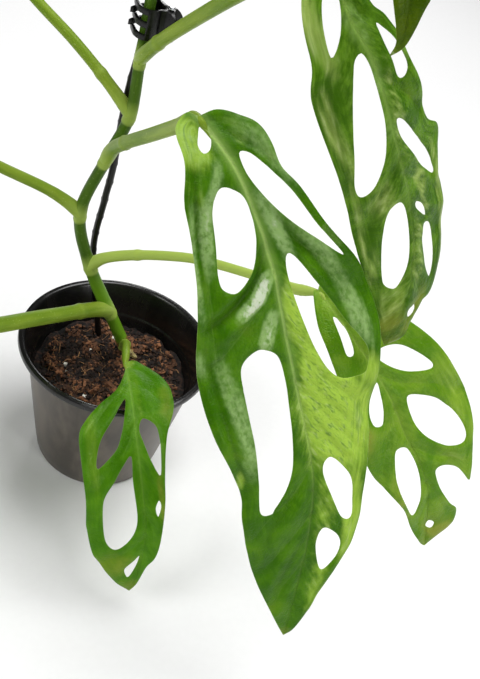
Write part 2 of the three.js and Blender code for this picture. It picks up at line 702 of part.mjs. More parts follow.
function bladeGeometry(leaf) {
  const pattern = PATTERNS[leaf.pattern];
  const surface = bladeSurface(leaf);
  const along = surface.length / pattern.left.at(-1)[0];
  const across = (leaf.width ?? 1) * (leaf.mirrored ? -1 : 1);
  const fit = (list) => list.map(([s, t]) => [s * along, t * across]);
  const left = traced(fit(pattern.left), false, OUTLINE_STEP);
  const tip = fit([pattern.left.at(-1)]).map(([s, t]) => new THREE.Vector2(s, t));
  const right = traced(fit(pattern.right), false, OUTLINE_STEP).slice(1).reverse();
  const rings = [[...left, ...tip, ...right]];
  pattern.holes.forEach((hole) => rings.push(traced(fit(hole), true, OUTLINE_STEP)));

  const inner = [];
  const rows = Math.round(surface.length / (INNER_STEP * 0.87));
  for (let i = 1; i < rows; i++) {
    for (let k = -6; k <= 6; k++) {
      const shift = k !== 0 && i % 2 ? 0.5 * Math.sign(k) : 0;
      const p = new THREE.Vector2((surface.length * i) / rows, (k + shift) * INNER_STEP);
      const onBlade = insideRing(p, rings[0]) && !rings.slice(1).some((ring) => insideRing(p, ring));
      const clear = Math.min(...rings.map((ring) => distanceToRing(p, ring)));
      if (onBlade && clear > (k === 0 ? MIDRIB_CLEAR : 0.42 * INNER_STEP)) inner.push(p);
    }
  }

  const { points, faces } = fillOutline(rings, inner);
  const positions = [];
  for (const half of [BLADE / 2, -BLADE / 2]) {
    for (const p of points) {
      const q = surface.point(p.x, p.y).addScaledVector(surface.normal(p.x, p.y), half);
      positions.push(q.x, q.y, q.z);
    }
  }
  const under = points.length;
  const index = [];
  const edges = new Set(faces.flatMap((face) => face.map((a, k) => `${a},${face[(k + 1) % 3]}`)));
  for (const [a, b, c] of faces) index.push(a, b, c, under + a, under + c, under + b);
  for (const edge of edges) {
    const [a, b] = edge.split(',').map(Number);
    if (!edges.has(`${b},${a}`)) index.push(b, a, under + a, b, under + a, under + b);
  }
  const geometry = new THREE.BufferGeometry();
  geometry.setAttribute('position', new THREE.Float32BufferAttribute(positions, 3));
  geometry.setIndex(index);
  return geometry;
}

// A stalk from its stem node to just under the blade's midrib, cut off where it meets the stem.
function petioleGeometry(leaf) {
  const surface = bladeSurface(leaf);
  const { middle, up } = surface.frameAt(STALK.end);
  const start = vec(NODES[leaf.node]);
  const last = vec(leaf.stalk.at(-1));
  const way = middle.clone().sub(last).normalize();
  const slant = Math.sqrt(Math.max(0, 1 - way.dot(up) ** 2));
  const fall = BLADE / 2 + GAP + STALK.clear + leaf.radii[1] * (slant + Math.max(0, -leaf.lift));
  const end = middle.clone().addScaledVector(up, -fall);
  const line = new THREE.CatmullRomCurve3([start, ...leaf.stalk.map(vec), end], false, 'catmullrom', 0.5);
  const [thick, thin] = leaf.radii;
  const steps = Math.round(line.getLength() / STALK.piece) + 3;
  const { at, width, swell } = STALK.joint;
  const radius = (u) => mix(thick, thin, Math.min(1, STALK.thinFrom * u)) + swell * bump(u - at, width);
  const parts = toSolid(rod(line, radius, STALK.sides, steps)).subtract(stemCutter).decompose();
  return toGeometry(parts.sort((a, b) => b.volume() - a.volume())[0]);
}

// ---------------------------------------------------------------- young leaf, still rolled
const NEW_LEAF_LINE = curveThrough([[-12, 9, 331], [-10, 7, 342], [-7, 3, 362], [-5, 0, 384]]);
const NEW_LEAF = { tip: 0.5, belly: 2.4, from: 0.12, to: 0.98, full: 0.8, sides: 8, steps: 12 };

// The roll is slim at its foot, widest near its middle, and ends in a point.
function newLeafRadius(u) {
  const share = mix(NEW_LEAF.from, NEW_LEAF.to, u);
  return NEW_LEAF.tip + NEW_LEAF.belly * Math.sin(Math.PI * share) ** NEW_LEAF.full;
}

// ---------------------------------------------------------------- claw clip
// Seen along the hinge: u to the right, v away from the show side, both from the clip's middle.
function extruded(outline, low, high) {
  const shape = new THREE.Shape(outline.map(([u, v]) => new THREE.Vector2(u, v)));
  const geometry = new THREE.ExtrudeGeometry(shape, { depth: high - low, bevelEnabled: false });
  geometry.translate(0, 0, low);
  return toSolid(geometry);
}

// A curved band round the stem, its end turned outwards past a certain angle.
function arcBand(from, to, side) {
  const steps = 14;
  const ring = (a, b) => Array.from({ length: steps + 1 }, (_, i) => {
    const degrees = mix(from, to, i / steps);
    const angle = THREE.MathUtils.degToRad(degrees);
    const past = Math.max(0, (degrees - CLIP.flareFrom) / (CLIP.prongTo - CLIP.flareFrom));
    const out = CLIP.flare * past ** 2;
    return [(a + out) * Math.cos(angle), side * (b + out) * Math.sin(angle)];
  });
  const outer = ring(CLIP.innerA + CLIP.thick, CLIP.innerB + CLIP.thick);
  const inner = ring(CLIP.innerA, CLIP.innerB).reverse();
  return [...outer, ...inner];
}

function roundBar(radius, low, high, sides) {
  const bar = new THREE.CylinderGeometry(radius, radius, high - low, sides);
  bar.rotateX(Math.PI / 2);
  bar.translate(CLIP.hingeX, 0, (low + high) / 2);
  return toSolid(bar);
}

const END_PRONG = (CLIP.height - CLIP.prong) / 2;
const JAWS = {
  fixed: { side: -1, prongs: [-END_PRONG, 0, END_PRONG], knuckles: [[-7, -4.3], [4.3, 7]] },
  moving: { side: 1, prongs: [-CLIP.prongPitch, CLIP.prongPitch], knuckles: [[-3.9, -1.9], [1.9, 3.9]] },
};
const SPRING_ROOM = 1.6; // half the width left for the spring between the inner knuckles

// A jaw: a curved back with prongs round the stem, knuckles on the pin and a grip for the fingers.
function jawGeometry({ side, prongs, knuckles }, others) {
  const half = CLIP.height / 2;
  let jaw = extruded(arcBand(CLIP.backFrom, CLIP.backTo, side), -half, half);
  for (const z of prongs) {
    const prong = arcBand(CLIP.prongFrom, CLIP.prongTo, side);
    jaw = jaw.add(extruded(prong, z - CLIP.prong / 2, z + CLIP.prong / 2));
  }
  const angle = THREE.MathUtils.degToRad(CLIP.gripAngle);
  const [gu, gv] = [Math.cos(angle), side * Math.sin(angle)];
  const [footU, footV] = [CLIP.hingeX + 0.8, side * 1.5];
  const [endU, endV] = [footU + CLIP.gripLength * gu, footV + CLIP.gripLength * gv];
  const [overU, overV] = [-side * CLIP.gripThick * gv, side * CLIP.gripThick * gu];
  const grip = [
    [footU, footV],
    [endU, endV],
    [endU + overU, endV + overV],
    [footU - CLIP.knuckle, footV + side * CLIP.gripThick],
  ];
  const ball = new THREE.IcosahedronGeometry(CLIP.gripRound, 4);
  ball.translate(CLIP.hingeX - 1, 0, 0);
  jaw = jaw.add(extruded(grip, -half, half).intersect(toSolid(ball)));
  const web = [
    [CLIP.innerA + 0.2, side * 1.7],
    [CLIP.hingeX, side * 0.9],
    [CLIP.hingeX + 0.6, side * 2],
    [CLIP.innerA + 0.5, side * 3.9],
  ];
  jaw = jaw.add(extruded(web, -half, half));
  for (const [low, high] of [...others, [-SPRING_ROOM + GAP, SPRING_ROOM - GAP]]) {
    jaw = jaw.subtract(roundBar(CLIP.knuckle + GAP, low - GAP, high + GAP, 20));
  }
  for (const [low, high] of knuckles) jaw = jaw.add(roundBar(CLIP.knuckle, low, high, 20));
  jaw = jaw.subtract(roundBar(CLIP.pin + GAP, -half - 1, half + 1, 12));
  const geometry = toGeometry(jaw);
  geometry.translate(CLIP.x, CLIP.y, CLIP.z);
  return geometry;
}

// The hinge pin, with a head at each end.
function clipPinGeometry() {
  const near = CLIP.height / 2 + GAP;
  const far = near + CLIP.headThick;
  const pin = roundBar(CLIP.pin, -near, near, 12)
    .add(roundBar(CLIP.headRadius, near, far, 12))
    .add(roundBar(CLIP.headRadius, -far, -near, 12));
  const geometry = toGeometry(pin);
  geometry.translate(CLIP.x, CLIP.y, CLIP.z);
  return geometry;
}

// The torsion spring between the knuckles: three turns that touch, as one ring.
function clipSpringGeometry() {
  const [inner, outer, half] = [CLIP.pin + GAP + 0.05, CLIP.knuckle - 0.1, SPRING_ROOM - GAP];
  const waist = outer - 0.25;
  const profile = [[inner, -half], [outer, -half], [waist, -half / 3], [outer, 0], [waist, half / 3],
    [outer, half], [inner, half], [inner, -half]];
  const ring = new THREE.LatheGeometry(profile.map(([r, z]) => new THREE.Vector2(r, z)), 16);
  ring.rotateX(Math.PI / 2);
  ring.translate(CLIP.x + CLIP.hingeX, CLIP.y, CLIP.z);
  return toGeometry(toSolid(ring));
}

// ---------------------------------------------------------------- the whole plant
place('pot', buildPot(), potPlastic);
place('potting_mix', buildMix(), barkMix);
place('stem', buildStem(), stemGreen);
place('stake', rod(STAKE_LINE, stakeRadius, STAKE.sides, STAKE.steps), blackPlastic);
place('clip_jaw_fixed', jawGeometry(JAWS.fixed, JAWS.moving.knuckles), blackPlastic);
place('clip_jaw_moving', jawGeometry(JAWS.moving, JAWS.fixed.knuckles), blackPlastic);
place('clip_pin', clipPinGeometry(), springSteel);
place('clip_spring', clipSpringGeometry(), springSteel);
for (const [number, leaf] of Object.entries(LEAVES)) {
  place(`petiole_${number}`, petioleGeometry(leaf), petioleGreen);
  place(`leaf_${number}`, bladeGeometry(leaf), leafGreen);
}
place('new_leaf', rod(NEW_LEAF_LINE, newLeafRadius, NEW_LEAF.sides, NEW_LEAF.steps), youngGreen);

export default root;
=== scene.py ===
import math
import random

import bpy
import numpy as np
from bpy.props import FloatProperty, FloatVectorProperty, IntProperty, PointerProperty
from mathutils import Matrix, Vector, geometry, kdtree, noise


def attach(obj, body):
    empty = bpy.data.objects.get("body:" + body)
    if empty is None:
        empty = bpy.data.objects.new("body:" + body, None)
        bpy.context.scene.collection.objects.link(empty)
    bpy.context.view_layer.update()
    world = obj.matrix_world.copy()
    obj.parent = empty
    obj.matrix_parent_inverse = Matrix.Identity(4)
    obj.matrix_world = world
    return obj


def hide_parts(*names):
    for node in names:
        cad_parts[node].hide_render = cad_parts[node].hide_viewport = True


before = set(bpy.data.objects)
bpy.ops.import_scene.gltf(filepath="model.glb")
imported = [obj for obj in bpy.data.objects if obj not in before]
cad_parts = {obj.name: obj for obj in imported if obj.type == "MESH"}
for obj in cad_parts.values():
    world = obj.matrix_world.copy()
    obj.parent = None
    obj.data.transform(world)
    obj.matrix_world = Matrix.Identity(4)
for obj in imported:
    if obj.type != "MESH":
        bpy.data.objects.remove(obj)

bl_info = {
    "name": "Potted monstera adansonii",
    "version": (1, 0, 0),
    "blender": (4, 5, 0),
    "location": "3D View > Sidebar > Plant",
    "description": "Builds a climbing monstera adansonii in its nursery pot, with stake and claw clip",
    "category": "Add Mesh",
}

MM = 0.001
TURN = 2 * math.pi
MERGE = 1e-6  # points this near one another are one, metres
PLANT = "plant"
CLIP_JAW = "clip_jaw"

# ---------------------------------------------------------------- the plant's own sizes, mm
POT = {
    "rim": 52.5, "height": 80.0, "base": 34.6, "wall": 1.3, "floor": 1.8, "lip_width": 4.0,
    "lip_drop": 3.6, "neck": 47.7, "step_height": 62.0, "step_depth": 0.7,
    "drain_radius": 4.0, "drain_circle": 23.0, "drains": 6, "sectors": 144,
}
SOIL_TOP = 57.5
CLUMP = 11  # how wide a clump of the mix is
FIBRE = {"radius": 0.16, "joints": 4, "stride": 2.2}

NODES = {
    "soil": (3, 18.5, 58), "one": (1.9, 16, 64.5), "two": (-9.6, 12, 88.8), "three": (-23.6, 9, 117.3),
    "four": (-32.8, 7, 149.1), "five": (-24.5, 6, 185.2), "six": (-17, 6, 212.5),
    "seven": (-17.2, 6, 241.3), "eight": (-17.6, 8, 276), "nine": (-14, 9.5, 308),
}
STEM_PATH = [(4.5, 21, 38), *NODES.values(), (-12, 9, 330)]
STEM_RADII = (3.7, 2.3)
ROOT_STUBS = [
    ("one", (0.9, -0.1, -0.2), 5.4), ("one", (0.95, -0.35, 0.35), 3.6), ("one", (0.7, -0.7, -0.3), 2.6),
    ("three", (0, 0.9, -0.5), 5), ("five", (-0.1, 0.9, -0.5), 4.5),
]
STAKE_PATH = [
    (-11.5, 29, 14), (-15.8, 26, 58.7), (-25.5, 20, 117.5), (-23.7, 16, 155.4), (-22, 14, 176.8),
    (-21, 12, 222.5), (-16.3, 12.3, 266), (-11, 15, 312), (-5, 19, 352),
]
STAKE_RADIUS = 1.5
STAKE_COATING = 0.25
NEW_LEAF_PATH = [(-12, 9, 331), (-10, 7, 342), (-7, 3, 362), (-5, 0, 384)]
CLIP_MIDDLE = (-17.2, 9.1, 259.5)
CLIP_HINGE = (8.5, 0, 0)

# A leaf's own plane: s runs along the midrib from its base, t across it. Both edges, the holes and the
# side veins of each kind of leaf.
PATTERNS = {
    "long": {
        "left": [
            (0, 0), (-3.5, -3), (-2.5, -9), (1, -12), (9, -15), (22, -23.5), (41.5, -27), (60, -31),
            (84, -36), (101, -38), (120, -38), (140, -34), (159.5, -31), (174.5, -31), (194.5, -26),
            (210.5, -19), (231, -6.5), (241, 0),
        ],
        "right": [
            (0, 0), (2, 7), (8.5, 12.5), (16.5, 17), (30, 16.5), (38.5, 19.5), (55.5, 25), (71.5, 35),
            (85, 38.5), (97, 39), (109, 37), (124, 33.5), (133, 29), (150, 25), (166.5, 22), (185.5, 21),
            (195.5, 18), (210, 12.5), (226, 7.5), (237, 3.5), (241, 0),
        ],
        "holes": [
            [(3, -2), (6, -0.5), (9.5, -1.5), (12, -4.5), (11.5, -7), (8, -7), (5.5, -5)],
            [(26, -8.5), (29, -4.5), (34, -1.5), (43, -1.5), (53, -4), (61, -8), (67, -16),
             (64.5, -21.5), (58, -22), (46, -19), (34, -16), (28, -12.5)],
            [(19, 4), (20, 7), (25, 10), (38, 16), (54, 21.5), (67, 29), (61, 22), (50, 12.5), (38, 6),
             (27, 3)],
            [(60.5, 6), (61, 9), (72, 15), (83.5, 21), (93, 25), (106, 31.5), (114.5, 30.5),
             (117.5, 27.5), (116.5, 19), (110, 13.5), (97, 9.5), (81, 6.5), (68, 5)],
            [(93, -14), (94, -9.5), (99, -5), (110, -4), (125, -5), (140, -7), (156, -10.5),
             (169, -16.5), (172.5, -18), (170, -23.5), (150.5, -23.5), (127.5, -22.5), (108, -22),
             (97.5, -20.5)],
            [(149.5, 8), (153, 12), (160, 16.5), (169.5, 17.5), (178, 17.5), (177, 13), (166, 7.5),
             (157, 4.5), (151.5, 5)],
            [(182.5, 6), (185, 12), (190, 15), (197, 14), (203.5, 9.5), (200, 6.5), (190, 4)],
        ],
        "veins": [
            [(4, 0), (12, -9.5), (22, -15.5), (40, -21.5), (62, -26.5), (85, -29), (105, -30)],
            [(64, 0), (75, -8), (84, -17), (92, -27), (98, -35)],
            [(150, 0), (164, -9), (176, -20), (186, -26)],
            [(176, 0), (190, -10), (203, -17)],
            [(200, 0), (212, -6), (222, -8)],
            [(2, 0), (8, 7), (17, 12.5), (30, 15)],
            [(40, 0), (50, 6), (59, 13.5), (68, 22), (80, 31)],
            [(92, 0), (106, 7), (118, 14.5), (128, 22), (136, 26)],
            [(112, 0), (126, 7), (139, 14), (150, 21)],
            [(134, 0), (146, 10), (156, 18), (168, 20)],
            [(164, 0), (174, 5), (180, 10.5), (184, 17)],
            [(200, 0), (209, 6), (216, 8)],
        ],
    },
    "narrow": {
        "left": [
            (0, 0), (-2, -3), (1, -8), (10, -12.5), (23, -16), (31, -20.5), (43.5, -22), (66.5, -22),
            (85, -22), (104.5, -22), (119.5, -21), (139, -16.5), (157, -9.5), (170.5, 0),
        ],
        "right": [
            (0, 0), (-1, 4), (3, 8.5), (10, 10.5), (18, 10.5), (26, 14), (41, 15.5), (51.5, 18),
            (62.5, 19.5), (75.5, 20), (84.5, 25.5), (90.5, 21.5), (98.5, 19), (108, 20), (125, 18.5),
            (146.5, 17), (152, 12.5), (160, 9.5), (168, 10.5), (170.5, 0),
        ],
        "holes": [
            [(6.5, -3.5), (9, -1.5), (16, -2), (22, -5), (26, -10.5), (19, -9), (11, -6.5)],
            [(29.5, -3), (32, -1.5), (44, -1.5), (58, -2), (70, -5), (80, -11), (82.5, -16.5),
             (76.5, -17.5), (62, -14.5), (47, -11), (33, -6.5)],
            [(25.5, 9), (30, 11.5), (37, 13), (43, 14), (46.5, 13), (47.5, 10.5), (44.5, 8.5),
             (38.5, 7.5), (32, 7)],
            [(58.5, 3), (62, 6.5), (74, 11), (87.5, 15.5), (97.5, 16.5), (90, 11), (78, 6.5), (66, 3)],
            [(94, -4), (99, -2), (112, -1.5), (127, -2), (137, -4), (141, -6.5), (136, -11.5),
             (120, -13), (104, -11), (96, -8)],
            [(99.5, 3.5), (104, 7), (111.5, 9), (107, 5.5), (102, 3)],
            [(114, 7), (117, 11), (128, 12.5), (140.5, 13), (133, 7.5), (120, 5)],
            [(152, 5), (151.5, 8), (154.5, 9), (157, 6.5), (154.5, 4.5)],
        ],
        "veins": [
            [(2, 0), (5, -5), (12, -9.5), (24, -14)],
            [(20, 0), (27, -5), (32, -12), (45, -16.5), (62, -18.5), (80, -19.5)],
            [(74, 0), (86, -8), (94, -15), (104, -19)],
            [(128, 0), (141, -4), (148, -8)],
            [(146, 0), (156, -3.5)],
            [(2, 0), (7, 5), (14, 8)],
            [(14, 0), (21, 6), (28, 12)],
            [(40, 0), (49, 7), (57, 13), (68, 17.5)],
            [(82, 0), (91, 6), (99, 12.5), (106, 17)],
            [(102, 0), (110, 4), (114, 11), (122, 16)],
            [(132, 0), (144, 7), (149, 11)],
        ],
    },
    "broad": {
        "left": [
            (0, 0), (-1, -2), (5, -6.5), (12.5, -10.5), (21.5, -13.5), (34, -16.5), (58, -21.5),
            (84, -23), (99, -21), (114, -17), (134, -10), (147, -3.5), (151, 0),
        ],
        "right": [
            (0, 0), (-1.5, 2.5), (1, 7), (8, 12), (22, 20), (36.5, 26), (47.5, 30), (62.5, 33.5),
            (78.5, 37), (91.5, 35), (103, 29), (115.5, 24), (119.5, 22), (112.5, 17.5), (108.5, 12.5),
            (107, 8), (109.5, 5.5), (118.5, 6.5), (128, 12), (134, 17), (141, 15.5), (145, 8), (151, 0),
        ],
        "holes": [
            [(38, 3.5), (38, 9), (42, 16), (49.5, 21), (58.5, 25), (60, 22), (55, 13), (47, 6.5)],
            [(50, -2), (57, -3.5), (66, -6.5), (70.5, -9), (68, -13), (61, -13), (54, -9)],
            [(65, 7), (67.5, 14), (74.5, 21.5), (87, 26), (98.5, 27), (102.5, 23), (99, 14.5), (90, 8.5),
             (77, 6)],
            [(86, -8), (88, -2.5), (95, -1.5), (106, -2), (118, -4.5), (128.5, -8), (123.5, -12),
             (111, -14.5), (97.5, -13.5)],
            [(136, 1.5), (138, 4.5), (141, 3), (139, 0)],
            [(13, -2), (18, 0), (25, -1), (32, -4), (30, -7.5), (21.5, -5)],
        ],
        "veins": [
            [(4, 0), (9, -4.5), (14, -8.5)],
            [(30, 0), (42, -7), (50, -14), (57, -19)],
            [(66, 0), (78, -8), (86, -15), (93, -19)],
            [(122, 0), (132, -4), (139, -5)],
            [(4, 0), (9, 6), (18, 14), (30, 20)],
            [(20, 0), (29, 8), (38, 18), (47, 26)],
            [(46, 0), (57, 7), (63, 16), (68, 24), (76, 32)],
            [(90, 0), (100, 7), (105, 14), (110, 20)],
            [(112, 0), (122, 5), (130, 10), (136, 13)],
        ],
    },
    "small": {
        "left": [
            (0, 0), (12, -1.5), (25, -7), (34.5, -16), (42.5, -23.5), (50, -27.5), (65, -27.5),
            (81, -27.5), (98, -28.5), (115, -25), (125, -18), (133, -9), (138, 0),
        ],
        "right": [
            (0, 0), (1, 5), (13, 13), (23, 18.5), (34.5, 20), (42.5, 19), (54.5, 14.5), (74, 11.5),
            (86, 10.5), (99, 8.5), (113, 7), (121, 3.5), (132.5, 2), (138, 0),
        ],
        "holes": [
            [(32, -3.5), (43, -5), (52, -7.5), (59, -11), (66, -20), (60, -20), (52, -17), (43, -10.5)],
            [(44, 4), (48, 9.5), (54, 11), (62, 11), (73, 9.5), (66, 6), (56, 3), (49, 1.5)],
            [(62, -3.5), (75, -4), (92, -3.5), (101, -5), (109, -9), (113, -14), (107.5, -19),
             (95.5, -20.5), (82, -19), (73, -13), (66, -8)],
            [(85, 7.5), (88, 8.5), (93, 6.5), (89, 5.5)],
            [(115, -1), (118, -3), (124, -6.5), (128, -5), (129, -3), (122, -1.5)],
        ],
        "veins": [
            [(18, 0), (30, -7), (40, -16), (52, -22.5), (64, -24)],
            [(46, 0), (59, -6.5), (67, -14), (76, -22)],
            [(104, 0), (112, -6), (118, -13), (121, -17)],
            [(4, 0), (12, 7), (22, 13)],
            [(18, 0), (27, 8), (36, 14)],
            [(64, 0), (74, 4), (82, 8)],
            [(90, 0), (100, 3.5), (110, 5)],
        ],
    },
    "young": {
        "left": [
            (0, 0), (-3, -4.5), (2, -10), (14, -17), (30, -21), (48, -22), (66, -19.5), (84, -15),
            (98, -10), (112, -5), (124, -1.5), (130, 0),
        ],
        "right": [
            (0, 0), (-2.5, 4), (2, 10), (13, 18), (28, 23), (46, 23.5), (64, 21), (80, 17), (95, 11.5),
            (110, 6), (123, 2), (130, 0),
        ],
        "holes": [
            [(18, -4), (21, -8), (30, -14), (36, -14.5), (34, -9), (26, -5)],
            [(42, -3.5), (45, -8), (56, -14), (62, -13), (58, -7), (50, -3)],
            [(66, -4), (70, -7), (79, -10.5), (83, -8.5), (76, -4.5)],
            [(28, 5), (31, 10), (42, 16.5), (48, 16), (44, 9), (36, 4.5)],
            [(53, 3.5), (57, 9), (67, 14), (72, 12.5), (66, 6.5), (60, 4)],
            [(78, 3), (82, 7), (90, 9), (92, 6.5), (86, 3.5)],
        ],
        "veins": [
            [(4, 0), (10, -8), (18, -15)],
            [(28, 0), (37, -7), (43, -14), (50, -19)],
            [(52, 0), (61, -5), (67, -11), (73, -15)],
            [(74, 0), (86, -5), (94, -8)],
            [(96, 0), (106, -3)],
            [(6, 0), (14, 9), (24, 18)],
            [(36, 0), (46, 7), (52, 15), (60, 19)],
            [(62, 0), (71, 5), (77, 11), (84, 14)],
            [(84, 0), (94, 4), (102, 6)],
        ],
    },
}

